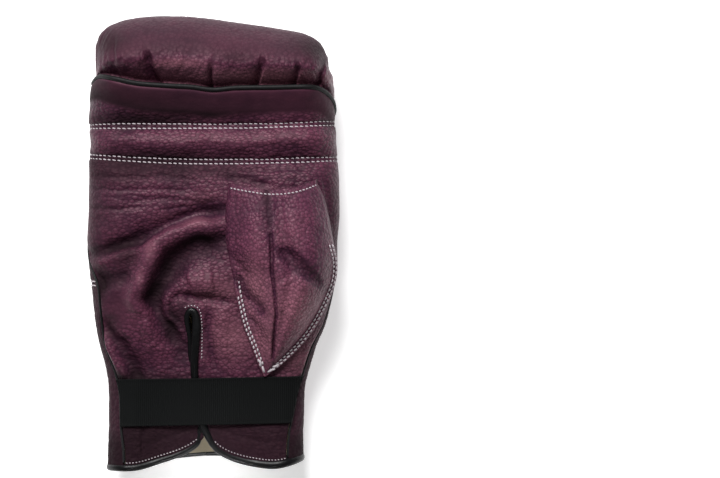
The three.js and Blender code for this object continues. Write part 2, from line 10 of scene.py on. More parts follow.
import bmesh
import bpy
import numpy as np
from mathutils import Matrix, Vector


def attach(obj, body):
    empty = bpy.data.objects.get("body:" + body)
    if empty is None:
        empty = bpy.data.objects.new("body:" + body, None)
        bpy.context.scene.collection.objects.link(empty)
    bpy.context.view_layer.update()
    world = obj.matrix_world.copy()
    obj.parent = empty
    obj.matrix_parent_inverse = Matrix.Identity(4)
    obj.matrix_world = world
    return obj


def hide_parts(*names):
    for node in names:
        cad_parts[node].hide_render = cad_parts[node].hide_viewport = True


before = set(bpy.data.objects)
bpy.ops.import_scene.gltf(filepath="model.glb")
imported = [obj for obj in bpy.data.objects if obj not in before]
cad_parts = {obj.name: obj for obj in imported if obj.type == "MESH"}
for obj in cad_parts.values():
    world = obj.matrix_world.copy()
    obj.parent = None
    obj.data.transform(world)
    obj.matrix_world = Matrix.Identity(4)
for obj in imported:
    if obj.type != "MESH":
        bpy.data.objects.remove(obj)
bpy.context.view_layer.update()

bl_info = {
    "name": "Bag glove",
    "version": (1, 0, 0),
    "blender": (4, 5, 0),
    "location": "View3D > Sidebar > Glove",
    "description": "A padded leather bag glove with stitching, binding and lining",
    "category": "Object",
}

# The glove's sizes in millimetres.
LENGTH = 260.0
WIDTH = 143.0
PALM_HEIGHT = 46.0
ROLL_HEIGHT = 62.0
SIDE_REACH = 20.0
TIP_REACH = 23.0
LEATHER = 2.2
PADDING = 19.0
TIP_PADDING = 19.0
SIDE_WALL = 5.0
CUFF_WALL = 3.0
POCKET = 22.0
LINING = 1.0
ELASTIC_WIDTH = 27.0
ELASTIC_THICKNESS = 1.3
CORD_PITCH = 1.15
PIPING = 2.8
BINDING = 3.8
TUCK = 10.0
ROLL_TUCK = 6.0
# How deep and wide the seams draw the palm down, the depth of a fold of share 1, how far the roll pushes up the
# panel's top edge, and how far the flaps bend down at the cuff.
SEAM_DIP = 4.2
SEAM_SPREAD = 6.5
FOLD_DEPTH = 2.6
BAND_RISE = 3.4
CUFF_DIP = 4.5
# The double rows of stitches: how far they lie from the middle of a seam over the palm, from the thumb's edge,
# and from the first row over the back.
SEAM_ROWS = (-1.05, 1.05)
THUMB_ROWS = (1.4, 3.2)
BACK_ROWS = (0.0, 2.3)
# Shares of the length: the first row over the back, the elastic's middle at the left and at the right, and where
# the roll goes over into the back.
BACK_SEAM = 0.41
ELASTIC_ALONG = (0.153, 0.161)
ROLL_BORDER = 0.885

# along, left edge, right edge: shares of the length and of the width
OUTLINE = (
    (0.0, -0.424, 0.362), (0.063, -0.42, 0.361), (0.116, -0.416, 0.365), (0.182, -0.416, 0.369),
    (0.221, -0.424, 0.384), (0.274, -0.452, 0.412), (0.326, -0.468, 0.448), (0.379, -0.48, 0.472),
    (0.444, -0.492, 0.496), (0.51, -0.5, 0.5), (0.597, -0.497, 0.5), (0.685, -0.489, 0.496),
    (0.729, -0.481, 0.49), (0.768, -0.492, 0.488), (0.851, -0.486, 0.488), (0.891, -0.47, 0.487),
    (0.93, -0.465, 0.484), (0.97, -0.464, 0.468), (1.0, -0.464, 0.46),
)
# along, underside, widest line, top: shares of the palm's height
PROFILE = (
    (0.0, 0.05, 0.4, 0.73), (0.08, 0.08, 0.41, 0.72), (0.16, 0.1, 0.42, 0.7), (0.22, 0.07, 0.44, 0.73),
    (0.3, 0.01, 0.48, 0.83), (0.36, 0.0, 0.51, 0.9), (0.42, 0.0, 0.54, 0.95), (0.55, 0.0, 0.56, 0.99),
    (0.65, 0.0, 0.57, 1.0), (0.73, 0.0, 0.58, 1.04), (0.8, 0.0, 0.6, 1.08), (0.845, 0.0, 0.62, 1.13),
    (1.0, 0.0, 0.64, 1.13),
)
ROLL_CROWN = (
    (0.8, 0.81), (0.832, 0.79), (0.846, 0.785), (0.854, 0.84), (0.864, 0.9), (0.875, 0.95), (0.887, 0.985),
    (0.9, 1.0), (0.92, 0.988), (0.95, 0.955), (1.0, 0.9),
)
# share of the half width from the middle, along
TIP_EDGE = (
    (-1.0, 0.935), (-0.97, 0.957), (-0.93, 0.971), (-0.862, 0.982), (-0.724, 0.993), (-0.448, 1.0),
    (-0.103, 0.9955), (0.31, 0.9825), (0.655, 0.969), (0.793, 0.962), (0.862, 0.954), (0.931, 0.941),
    (1.0, 0.91),
)
FLAP_EDGE = (
    (-1.0, 0.004), (-0.7, 0.005), (-0.47, 0.019), (-0.21, 0.039), (-0.06, 0.06), (0.005, 0.074),
    (0.07, 0.058), (0.14, 0.043), (0.28, 0.027), (0.49, 0.015), (0.71, 0.0105), (0.89, 0.018), (1.0, 0.026),
)
BACK_EDGE = ((-1.0, 0.004), (-0.5, 0.022), (0.0, 0.034), (0.5, 0.031), (1.0, 0.026))
# turn, along
PANEL_EDGE = (
    (-1.2, 0.866), (-0.9, 0.874), (-0.78, 0.876), (-0.55, 0.86), (-0.41, 0.85), (-0.25, 0.845),
    (-0.1, 0.842), (0.01, 0.836), (0.12, 0.841), (0.31, 0.8435), (0.63, 0.847), (0.74, 0.838),
    (0.886, 0.816), (1.0, 0.795), (1.2, 0.775),
)
PANEL_TOP = 0.837
# along, left turn, right turn
SIDE_SEAM = (
    (0.0, -0.61, 0.64), (0.05, -0.625, 0.643), (0.1, -0.67, 0.66), (0.135, -0.68, 0.7), (0.173, -0.69, 0.745),
    (0.212, -0.73, 0.79), (0.28, -0.785, 0.83), (0.36, -0.775, 0.95), (0.42, -0.79, 1.04), (0.488, -1.0, 1.1),
    (0.56, -1.12, 1.12), (0.76, -1.12, 1.1), (0.88, -1.1, 1.1),
)
# along at the left, in the middle and at the right
CROSS_SEAMS = ((0.757, 0.757, 0.765), (0.693, 0.68, 0.687))
# along, across
SLIT = (
    (-0.03, -0.03), (0.055, -0.031), (0.09, -0.034), (0.112, -0.042), (0.16, -0.058),
    (0.208, -0.07), (0.27, -0.072), (0.32, -0.075), (0.345, -0.078),
)
# along, left turn, right turn, rise
THUMB = (
    (0.214, 0.375, 0.4, 0.0), (0.236, 0.33, 0.49, 0.12), (0.28, 0.262, 0.62, 0.45), (0.324, 0.188, 0.7, 0.75),
    (0.379, 0.138, 0.78, 0.95), (0.422, 0.11, 0.82, 1.05), (0.462, 0.09, 0.81, 1.1), (0.5, 0.075, 0.763, 1.05),
    (0.55, 0.068, 0.716, 0.95), (0.6, 0.075, 0.668, 0.75), (0.634, 0.082, 0.613, 0.5),
)
THUMB_MOUTH = ((-1.0, 0.0), (-0.6, -0.009), (-0.2, -0.015), (0.25, -0.012), (0.65, -0.003), (1.0, 0.008))
THUMB_RISE = 13.0
THUMB_GAP = 0.5
THUMB_THICKNESS = 3.0
THUMB_FLANGE = 4.0
THUMB_SEWN_TO = 0.46
# turn, along, half width and half length in mm
THUMB_HOLE = (0.46, 0.375, 17.0, 16.0)
# side (0 left, 1 right), distance from the edge in mm, from and to a share of the thumb, pitch and width over
# the usual ones, and how much of its pitch a stitch fills; the last two rows are the backtack at the tip
THUMB_STITCHES = (
    (0, THUMB_ROWS[0], 0.05, 0.5, 0.95, 1.1, 0.72), (0, THUMB_ROWS[1], 0.06, 0.5, 0.95, 1.1, 0.72),
    (1, THUMB_ROWS[0], 0.03, 0.68, 0.95, 1.1, 0.72), (1, THUMB_ROWS[1], 0.03, 0.68, 0.95, 1.1, 0.72),
    (0, 2.0, 0.02, 0.09, 1.6, 1.5, 0.97), (1, 2.3, 0.02, 0.07, 1.6, 1.4, 0.97),
)
# The wide folds of the palm: from across and along, to across and along, depth and width in shares.
WIDE_FOLDS = (
    (-0.03, 0.49, -0.17, 0.46, 0.9, 0.045), (-0.23, 0.43, -0.235, 0.36, 0.9, 0.045),
    (-0.03, 0.57, -0.4, 0.5, 1.0, 0.05), (-0.03, 0.522, -0.19, 0.505, -0.8, 0.045),
    (-0.24, 0.48, -0.285, 0.38, -0.8, 0.045), (-0.16, 0.39, 0.02, 0.385, 0.6, 0.03),
    (-0.42, 0.33, -0.31, 0.23, 0.6, 0.04),
)
# Sharper folds on top of them: height in mm, half width in mm, then the points as shares across and along.
PALM_CREASES = (
    (-3.8, 3.4, ((0.071, 0.579), (-0.03, 0.568), (-0.097, 0.557), (-0.164, 0.543), (-0.238, 0.522),
                 (-0.326, 0.504), (-0.427, 0.485), (-0.487, 0.48))),
    (4.8, 5.6, ((0.078, 0.543), (-0.016, 0.54), (-0.09, 0.536), (-0.164, 0.523), (-0.215, 0.507),
                (-0.238, 0.477), (-0.262, 0.443), (-0.286, 0.411), (-0.3, 0.383), (-0.28, 0.352),
                (-0.24, 0.317), (-0.191, 0.28))),
    (-4.4, 6.6, ((0.071, 0.505), (-0.003, 0.503), (-0.06, 0.498), (-0.105, 0.488), (-0.135, 0.47),
                 (-0.155, 0.45), (-0.18, 0.425), (-0.212, 0.4), (-0.236, 0.378), (-0.22, 0.352),
                 (-0.188, 0.325), (-0.152, 0.3), (-0.11, 0.273))),
    (4.0, 7.5, ((-0.097, 0.411), (-0.04, 0.419), (0.02, 0.424))),
    (-2.0, 2.4, ((-0.12, 0.387), (-0.06, 0.386), (0.0, 0.381), (0.075, 0.371))),
    (2.0, 2.4, ((-0.144, 0.408), (-0.181, 0.387), (-0.193, 0.365), (-0.178, 0.343), (-0.144, 0.324),
                (-0.11, 0.295))),
    (-0.9, 1.3, ((-0.131, 0.391), (-0.161, 0.376), (-0.166, 0.358), (-0.151, 0.339), (-0.117, 0.319))),
    (-3.0, 5.5, ((-0.306, 0.435), (-0.393, 0.424), (-0.467, 0.411))),
    (1.3, 3.0, ((-0.259, 0.498), (-0.326, 0.48), (-0.407, 0.467), (-0.474, 0.457))),
    (-2.6, 3.6, ((-0.454, 0.343), (-0.407, 0.31), (-0.366, 0.28), (-0.326, 0.247), (-0.302, 0.21),
                 (-0.292, 0.184))),
    (2.8, 2.6, ((-0.434, 0.313), (-0.413, 0.284), (-0.386, 0.254), (-0.353, 0.221), (-0.339, 0.199))),
    (-1.9, 2.6, ((-0.013, 0.354), (-0.016, 0.31), (-0.006, 0.273), (0.011, 0.228))),
    (1.2, 3.6, ((0.041, 0.354), (0.044, 0.295), (0.051, 0.239))),
    (1.2, 6.0, ((-0.259, 0.287), (-0.211, 0.25), (-0.178, 0.221))),
    (-0.9, 1.2, ((-0.275, 0.099), (-0.279, 0.073), (-0.282, 0.04))),
    (-0.6, 1.5, ((-0.097, 0.095), (-0.178, 0.077), (-0.259, 0.065))),
    (-0.6, 1.5, ((0.031, 0.095), (0.119, 0.077), (0.226, 0.069))),
    (1.3, 5.0, ((-0.481, 0.736), (-0.259, 0.73), (0.011, 0.727), (0.28, 0.732), (0.496, 0.741))),
    (-1.5, 2.2, ((0.038, 0.65), (0.112, 0.645), (0.186, 0.634), (0.24, 0.628))),
    (-0.8, 1.4, ((-0.474, 0.65), (-0.326, 0.646), (-0.191, 0.65), (-0.057, 0.642))),
    (-0.7, 1.3, ((-0.481, 0.621), (-0.36, 0.617), (-0.225, 0.622), (-0.11, 0.615))),
    (-0.7, 1.3, ((-0.326, 0.595), (-0.191, 0.599), (-0.043, 0.591))),
    (-0.8, 1.4, ((-0.487, 0.58), (-0.38, 0.576), (-0.272, 0.582))),
    (-0.6, 1.3, ((-0.191, 0.576), (-0.07, 0.582), (0.038, 0.599))),
    (-0.6, 1.2, ((0.065, 0.665), (0.213, 0.661), (0.381, 0.665))),
    (-0.7, 1.6, ((0.442, 0.65), (0.459, 0.591), (0.475, 0.536))),
)
THUMB_CREASES = (
    (-1.0, 2.6, ((0.214, 0.628), (0.228, 0.576), (0.233, 0.554), (0.24, 0.498))),
    (-3.0, 1.0, ((0.237, 0.52), (0.24, 0.498), (0.24, 0.443), (0.253, 0.387), (0.257, 0.347),
                 (0.246, 0.295), (0.243, 0.239))),
    (-2.3, 2.6, ((0.081, 0.435), (0.132, 0.398), (0.179, 0.372), (0.213, 0.343))),
    (-3.0, 4.2, ((0.257, 0.493), (0.321, 0.465), (0.381, 0.435), (0.442, 0.406))),
    (1.6, 8.0, ((0.294, 0.432), (0.321, 0.387), (0.3, 0.332))),
    (1.2, 6.0, ((0.152, 0.576), (0.159, 0.498), (0.186, 0.432))),
    (-0.9, 1.6, ((0.145, 0.347), (0.193, 0.313), (0.22, 0.273))),
)
# The gathers of the roll, each with a sharp side: depth and spread in mm, then the points.
PLEATS = (
    (2.0, 4.0, ((-0.383, 0.968), (-0.384, 0.924), (-0.383, 0.887), (-0.361, 0.867))),
    (6.4, 7.0, ((-0.262, 0.924), (-0.242, 0.907), (-0.232, 0.88), (-0.197, 0.848))),
    (5.2, 1.6, ((0.001, 0.898), (0.002, 0.88), (0.004, 0.833))),
    (5.8, 2.2, ((0.203, 0.911), (0.205, 0.891), (0.176, 0.843))),
    (5.0, 1.6, ((0.341, 0.898), (0.345, 0.88), (0.329, 0.85))),
    (6.0, 2.6, ((0.425, 0.935), (0.448, 0.906), (0.447, 0.88), (0.427, 0.85))),
)
# The binding round the slit: across and along, height over the palm and half width in mm. The right flap lies
# on the left one.
SLIT_BINDING = (
    (-0.046, 0.101, -1.6, 1.8), (-0.063, 0.139, -2.6, 1.6), (-0.08, 0.184, -2.8, 1.5),
    (-0.087, 0.221, -2.4, 1.5), (-0.085, 0.265, -2.0, 1.5), (-0.088, 0.298, -1.4, 1.4),
    (-0.095, 0.318, -0.6, 1.3), (-0.101, 0.335, 0.0, 1.4), (-0.097, 0.351, 0.2, 1.5),
    (-0.082, 0.359, 0.3, 1.7), (-0.067, 0.353, 0.5, 2.0), (-0.061, 0.337, 0.7, 2.2),
    (-0.061, 0.317, 1.0, 2.3), (-0.065, 0.295, 1.1, 2.2), (-0.071, 0.258, 1.0, 2.1),
    (-0.072, 0.225, 0.6, 2.0), (-0.066, 0.184, -1.0, 1.9), (-0.054, 0.143, -1.0, 1.9),
    (-0.042, 0.106, 0.5, 2.0),
)
# Painted shade (tone above 0) and painted highlight (tone below 0) on the leather, and how smooth its grain is:
# across, along, half width, half length, tone, smoothness.
PALM_SHADE_PATCHES = (
    (-0.3, 0.67, 0.26, 0.024, 0.75, 0.0), (0.04, 0.66, 0.16, 0.018, 0.35, 0.0),
    (-0.36, 0.643, 0.14, 0.016, 0.3, 0.0), (-0.42, 0.56, 0.08, 0.12, 0.2, 0.2),
    (-0.33, 0.475, 0.07, 0.03, 0.65, 0.0), (-0.45, 0.4, 0.03, 0.04, 0.7, 0.0),
    (-0.37, 0.37, 0.07, 0.05, 0.25, 0.8), (-0.40, 0.32, 0.035, 0.03, 0.35, 0.2),
    (-0.28, 0.43, 0.018, 0.03, -0.5, 0.2), (-0.245, 0.485, 0.03, 0.03, -0.6, 0.4),
    (-0.08, 0.555, 0.1, 0.02, -0.6, 0.5), (-0.05, 0.6, 0.08, 0.025, -0.5, 0.0),
    (-0.18, 0.455, 0.03, 0.03, 0.4, 0.0), (-0.225, 0.405, 0.04, 0.03, 0.5, 0.0),
    (-0.04, 0.518, 0.1, 0.014, 0.4, 0.0), (-0.16, 0.33, 0.03, 0.035, 0.45, 0.0),
    (-0.11, 0.355, 0.04, 0.025, 0.65, 0.0), (0.05, 0.4, 0.12, 0.035, -0.7, 0.0),
    (0.08, 0.30, 0.1, 0.05, -0.9, 0.0), (-0.28, 0.2, 0.25, 0.022, 0.7, 0.0),
    (-0.05, 0.197, 0.5, 0.012, 0.3, 0.0), (-0.37, 0.2, 0.06, 0.03, 0.5, 0.0),
    (0.1, 0.733, 0.4, 0.016, -0.2, 0.0), (-0.36, 0.733, 0.06, 0.02, 0.2, 0.0),
    (-0.15, 0.692, 0.5, 0.014, 0.5, 0.0), (0.1, 0.7, 0.15, 0.01, -0.2, 0.0),
    (-0.25, 0.772, 0.3, 0.014, 0.75, 0.0), (0.35, 0.255, 0.1, 0.05, -0.9, 0.0),
    (-0.47, 0.5, 0.03, 0.2, 0.35, 0.3), (0.48, 0.56, 0.03, 0.09, 0.45, 0.0),
)
THUMB_SHADE_PATCHES = (
    (0.25, 0.6, 0.3, 0.045, 0.3, 0.2), (0.1, 0.53, 0.07, 0.08, 0.4, 0.0), (0.42, 0.5, 0.06, 0.07, 0.4, 0.0),
    (0.31, 0.45, 0.08, 0.025, 0.25, 0.0), (0.215, 0.56, 0.022, 0.06, 0.45, 0.0),
    (0.17, 0.4, 0.05, 0.05, -0.7, 0.0), (0.33, 0.36, 0.08, 0.05, -0.7, 0.0),
    (0.21, 0.29, 0.05, 0.04, -0.7, 0.0),
)
ROLL_SHADE_PATCHES = (
    (0.43, 0.92, 0.1, 0.045, 0.4, 0.1), (-0.4, 0.94, 0.07, 0.03, 0.35, 0.4),
    (-0.13, 0.893, 0.13, 0.013, -1.1, 0.0), (0.1, 0.9, 0.07, 0.016, 0.35, 0.0),
    (0.0, 0.86, 0.5, 0.018, -0.9, 0.0), (0.27, 0.862, 0.2, 0.018, -0.8, 0.0),
)
SLIT_STITCHES = (
    (-0.11, 0.361), (-0.097, 0.366), (-0.08, 0.368), (-0.063, 0.366), (-0.049, 0.36), (-0.043, 0.347),
    (-0.04, 0.324), (-0.04, 0.295), (-0.042, 0.25),
)


def follow(table, column, at):
    """A table's column at any values of its first column, on a smooth curve through the rows."""
    rows = np.asarray(table, float)
    keys, values = rows[:, 0], rows[:, column]
    place = np.clip(at, keys[0], keys[-1])
    i = np.clip(np.searchsorted(keys, place, side="left") - 1, 0, len(keys) - 2)
    slopes = np.empty_like(values)
    slopes[1:-1] = (values[2:] - values[:-2]) / (keys[2:] - keys[:-2])
    slopes[0] = (values[1] - values[0]) / (keys[1] - keys[0])
    slopes[-1] = (values[-1] - values[-2]) / (keys[-1] - keys[-2])
    span = keys[i + 1] - keys[i]
    s = (place - keys[i]) / span
    ease = s * s * (3 - 2 * s)
    bend = s * (1 - s) * span
    return values[i] * (1 - ease) + values[i + 1] * ease + bend * ((1 - s) * slopes[i] - s * slopes[i + 1])


def mix(a, b, share):
    return a + (b - a) * share


def smooth(value, low, high):
    s = np.clip((np.asarray(value, float) - low) / (high - low), 0, 1)
    return s * s * (3 - 2 * s)


def along_to_y(share):
    return (share - 0.5) * LENGTH


def y_to_along(y):
    return y / LENGTH + 0.5


def across_of(turn):
    return np.sin(turn * math.pi / 2)


def hump(away, width):
    """1 on a line, falling off smoothly to both sides."""
    return np.exp(-((away / width) ** 2))


def rounded_edge(share):
    """A quarter circle, from 0 at an edge to 1."""
    return np.sqrt(1 - (1 - np.clip(share, 0, 1)) ** 2)


def line_distance(x, y, points):
    """How far places are from a line of points given as shares, and how far along the line, 0 to 1."""
    line = np.array([(across * WIDTH, along_to_y(along)) for across, along in points])
    lengths = np.linalg.norm(np.diff(line, axis=0), axis=1)
    reached = np.concatenate([[0], np.cumsum(lengths)])
    best = np.full(np.shape(x), 1e9)
    share = np.zeros(np.shape(x))
    side = np.zeros(np.shape(x))
    for k, (a, b) in enumerate(zip(line[:-1], line[1:])):
        d = b - a
        s = np.clip(((x - a[0]) * d[0] + (y - a[1]) * d[1]) / (d @ d), 0, 1)
        away = np.hypot(x - a[0] - s * d[0], y - a[1] - s * d[1])
        near = away < best
        best = np.where(near, away, best)
        share = np.where(near, (reached[k] + s * lengths[k]) / reached[-1], share)
        side = np.where(near, np.sign(d[0] * (y - a[1]) - d[1] * (x - a[0])), side)
    return best, share, side


def noise(x, y, size, seed):
    """Smooth seeded noise between -1 and 1 with bumps of about this size in mm."""
    gx, gy = np.asarray(x, float) / size + 400.0, np.asarray(y, float) / size + 400.0
    table = np.random.default_rng(seed).uniform(-1, 1, (256, 256))
    ix, iy = np.floor(gx).astype(int), np.floor(gy).astype(int)
    fx, fy = gx - ix, gy - iy
    fx, fy = fx * fx * (3 - 2 * fx), fy * fy * (3 - 2 * fy)

    def at(i, j):
        return table[i % 256, j % 256]

    low = mix(at(ix, iy), at(ix + 1, iy), fx)
    high = mix(at(ix, iy + 1), at(ix + 1, iy + 1), fx)
    return mix(low, high, fy)


def creasing(x, y, size, seed):
    """Sharp-valleyed wrinkles of about this size, from 0 between them to -1 in them."""
    ridge = 1 - np.abs(noise(x, y, size, seed))
    fine = 1 - np.abs(noise(x, y, size * 0.47, seed + 1))
    return -(0.65 * ridge**5 + 0.35 * fine**5)


def panel_edge(turn):
    return follow(PANEL_EDGE, 1, turn)


def cross_seam_along(seam, across):
    """Where a seam over the palm lies at this share across."""
    left, middle, right = seam
    return mix(middle, np.where(across < 0, left, right), np.clip(np.abs(across) * 2, 0, 1) ** 2)


def palm_crown(x, y):
    height = PALM_HEIGHT * follow(PROFILE, 3, y_to_along(y))
    for seam in CROSS_SEAMS:
        away = y - along_to_y(cross_seam_along(seam, x / WIDTH))
        height = height - SEAM_DIP * hump(away, SEAM_SPREAD)
    for x0, y0, x1, y1, depth, width in WIDE_FOLDS:
        away, _, _ = line_distance(x, y, ((x0, y0), (x1, y1)))
        height = height - FOLD_DEPTH * depth * hump(away, width * WIDTH)
    return height


def gathered(x, y):
    """How far the roll's gathers draw its leather down: sharply on one side of each line, slowly on the other."""
    drop = np.zeros(np.shape(x))
    for depth, spread, points in PLEATS:
        away, share, side = line_distance(x, y, points)
        width = np.where(side > 0, 0.8, 1.2 + spread * share * 0.8)
        drop = drop + depth * np.exp(-((away / width) ** 1.6)) * smooth(share, -0.1, 0.5)
    return drop


def roll_crown(x, y, along, turn):
    """The roll's height: its steep front keeps to the panel's edge, and its gathers draw it down."""
    shift = (panel_edge(turn) - PANEL_TOP) * (1 - smooth(along, 0.87, 0.93))
    return ROLL_HEIGHT * follow(ROLL_CROWN, 1, along - shift) - gathered(x, y)


def body_point(form, turn, along):
    """A place on one of the forms below."""
    turn, along = np.broadcast_arrays(np.asarray(turn, float), np.asarray(along, float))
    across = across_of(turn)
    left, right = form["left"](along), form["right"](along)
    half = (right - left) / 2
    x = (right + left) / 2 + half * across
    tip = smooth(along, 0.8, 1) * (follow(TIP_EDGE, 1, across) - 1)
    y = along_to_y(along + tip)
    from_side = (1 - np.abs(across)) * half / form["side"]
    from_tip = (form["tip"] - along) * LENGTH / form["tip_reach"]
    risen = rounded_edge(from_side) * rounded_edge(from_tip)
    middle = PALM_HEIGHT * follow(PROFILE, 2, along)
    over = np.abs(turn) <= 1
    face = np.where(over, form["top"](x, y, along, turn), form["under"](along))
    return np.stack([x, y, mix(middle, face, risen)], axis=-1)


def outer_left(along):
    return WIDTH * follow(OUTLINE, 1, along)


def outer_right(along):
    return WIDTH * follow(OUTLINE, 2, along)


def outer_under(along):
    return PALM_HEIGHT * follow(PROFILE, 1, along)


def hand_wall(along):
    return mix(CUFF_WALL, SIDE_WALL, smooth(along, 0.25, 0.45))


def hand_floor(along):
    return mix(CUFF_WALL + LINING, PADDING, smooth(along, 0.34, 0.46))


def hand_top(x, y, along, turn):
    """The hand's room reaches up to the palm panel, and beyond the panel's edge to the fingertips' pocket."""
    start = PANEL_TOP - TUCK / LENGTH
    under_panel = palm_crown(x, y) - LEATHER - 0.5
    return mix(under_panel, PADDING + POCKET, smooth(along, start - 0.006, start))


# The glove's outside, the same with the padded roll on it, and the hand's room.
OUTER = {"left": outer_left, "right": outer_right, "under": outer_under, "side": SIDE_REACH,
         "top": lambda x, y, along, turn: palm_crown(x, y), "tip_reach": TIP_REACH, "tip": 1.0}
ROLL = {**OUTER, "top": roll_crown}
HAND = {"left": lambda along: outer_left(along) + hand_wall(along),
        "right": lambda along: outer_right(along) - hand_wall(along),
        "under": lambda along: outer_under(along) + hand_floor(along), "side": SIDE_REACH - SIDE_WALL,
        "top": hand_top, "tip_reach": TIP_REACH / 2, "tip": 1 - TIP_PADDING / LENGTH}


def skin_normal(form, turn, along):
    step = 0.004
    round_ = body_point(form, turn + step, along) - body_point(form, turn - step, along)
    forward = body_point(form, turn, along + step) - body_point(form, turn, along - step)
    normal = np.cross(round_, forward)
    return normal / np.linalg.norm(normal, axis=-1, keepdims=True)


def off_skin(turn, along, distance, form=OUTER):
    distance = np.asarray(distance, float)[..., None]
    return body_point(form, turn, along) + skin_normal(form, turn, along) * distance


def turn_of(distance, turn, along):
    """How much turn a distance in mm takes up here."""
    step = 0.01
    span = body_point(OUTER, turn + step, along) - body_point(OUTER, turn - step, along)
    return distance * 2 * step / np.linalg.norm(span, axis=-1)


def wrapped(turn):
    """The same turn, kept between -2 and 2."""
    return np.where(turn > 2, turn - 4, turn)


def upper_part(turn):
    """1 on the palm's side of the glove and round its sides, 0 below."""
    return 1 - smooth(np.abs(turn), 1.35, 1.6)


def side_seams(along):
    return follow(SIDE_SEAM, 1, along), follow(SIDE_SEAM, 2, along)


def between_seams(along, room):
    left, right = side_seams(along)
    return left + turn_of(room, left, along), right - turn_of(room, right, along)


def panel_place(u, v, edge_room, cuff_room):
    """A place on the palm panel from two shares, kept this far in from its edges."""
    u, v = np.broadcast_arrays(np.asarray(u, float), np.asarray(v, float))
    along = mix(0.05, 0.84, v)
    left, right = between_seams(along, edge_room)
    turn = mix(left, right, u)
    for _ in range(4):
        low = follow(FLAP_EDGE, 1, across_of(turn)) + cuff_room / LENGTH
        high = panel_edge(turn) - edge_room / LENGTH
        along = mix(low, high, v)
        left, right = between_seams(along, edge_room)
        turn = mix(left, right, u)
    return turn, along


def slit_middle(along):
    return WIDTH * follow(SLIT, 1, along)


def in_slit(x, y, room):
    """Whether places lie in the slit, closed by the overlap but for its eyelet, grown by some room."""
    along = y_to_along(y)
    top = SLIT[-1][0]
    half = mix(0.5, 2.6, smooth(along, 0.27, 0.32))
    beside = np.abs(x - slit_middle(along)) < half + room
    eyelet = np.hypot(x - slit_middle(top), y - along_to_y(top)) < 2.4 + room
    return (beside & (along < top)) | eyelet


def cut_away(place, room):
    """Whether places on the palm lie in the slit or in the hole under the thumb."""
    turn, along, wide, long = THUMB_HOLE
    middle = body_point(OUTER, turn, along)
    hole = ((place[..., 0] - middle[0]) / wide) ** 2 + ((place[..., 1] - middle[1]) / long) ** 2 < 1
    return in_slit(place[..., 0], place[..., 1], room) | hole


def turn_at(x, along):
    """The turn on the palm side where the skin has this x."""
    left, right = outer_left(along), outer_right(along)
    return np.arcsin(np.clip((x - (right + left) / 2) / ((right - left) / 2), -1, 1)) * 2 / math.pi


def creased(x, y, creases):
    """The height that a table of ridges and valleys gives."""
    lift = np.zeros(np.shape(x))
    for height, width, points in creases:
        wander = min(1.2, width * 0.3) * noise(x, y, 8, 31)
        away, share, _ = line_distance(x + wander, y + wander, points)
        ends = smooth(share, 0.0, 0.15) * (1 - smooth(share, 0.85, 1.0))
        lift += height * hump(away, width) * (0.4 + 0.6 * ends)
    return lift


def shade_patches_at(x, y, table):
    """The painted shade (above 0) and painted highlight (below 0), and the smoothness, that a table of patches
    gives.
    """
    tone, smoothness = np.zeros(np.shape(x)), np.zeros(np.shape(x))
    for across, along, wide, long, patch_shade, patch_smooth in table:
        near = np.exp(-(((x / WIDTH - across) / wide) ** 2) - ((y_to_along(y) - along) / long) ** 2)
        tone += patch_shade * near
        smoothness += patch_smooth * near
    return tone, smoothness


def stretched_band(turn, along):
    """1 on the band below the panel's top edge, where the leather is pulled smooth."""
    edge = panel_edge(turn)
    return smooth(along, edge - 0.068, edge - 0.052)


def band_rise(turn, along):
    """How far the panel's top edge is pushed up by the roll behind it."""
    edge = panel_edge(turn)
    sides = 1 - smooth(np.abs(across_of(turn)), 0.8, 1.0)
    return BAND_RISE * sides * smooth(along, edge - 0.065, edge) ** 1.2


def cuff_dip(turn, along):
    """How far the flaps bend down at the cuff."""
    return CUFF_DIP * (1 - smooth(along, 0.0, 0.11)) * (1 - smooth(np.abs(across_of(turn)), 0.45, 0.85))


def palm_skin(turn, along, relief):
    """The palm leather's place with its relief, its raised top edge and its cuff that bends down."""
    place = off_skin(turn, along, relief)
    place[..., 2] += band_rise(turn, along) - cuff_dip(turn, along)
    return place


def palm_relief(turn, along):
    """How far the palm leather stands off the smooth skin: folds, seams, puckers and soft wrinkles."""
    place = body_point(OUTER, turn, along)
    x, y = place[..., 0], place[..., 1]
    lift = creased(x, y, PALM_CREASES)
    for seam in CROSS_SEAMS:
        away = y - along_to_y(cross_seam_along(seam, x / WIDTH))
        for row in SEAM_ROWS:
            lift -= 0.8 * hump(away - row, 0.75)
        pucker = noise(x, y * 0.25, 3.4, 5) + 0.6 * noise(x, y * 0.3, 7.5, 6)
        fade = np.exp(-((np.abs(away) / 6.0) ** 1.5)) * (1 - hump(away, 1.6))
        lift += 0.45 * pucker * fade
    calm = 1 - 0.85 * stretched_band(turn, along)
    front = calm * (1 - 0.8 * smooth(np.abs(across_of(turn)), 0.85, 1.0))
    lift += 0.8 * calm * noise(x, y, 17, 11) + 0.3 * front * noise(x, y, 8, 12)
    lift += 0.4 * front * creasing(x * 0.62, y * 1.5, 5.5, 21)
    lift += 0.15 * front * creasing(x, y * 1.3, 2.6, 23)
    left, right = side_seams(along)
    lift = lift * smooth(np.minimum(turn - left, right - turn), 0.0, 0.07)
    left, right = thumb_sides(along)
    under_thumb = smooth(np.minimum(turn - left, right - turn), 0.01, 0.05)
    return lift * (1 - 0.8 * under_thumb * smooth(along, 0.2, 0.24) * (1 - smooth(along, 0.58, 0.62)))


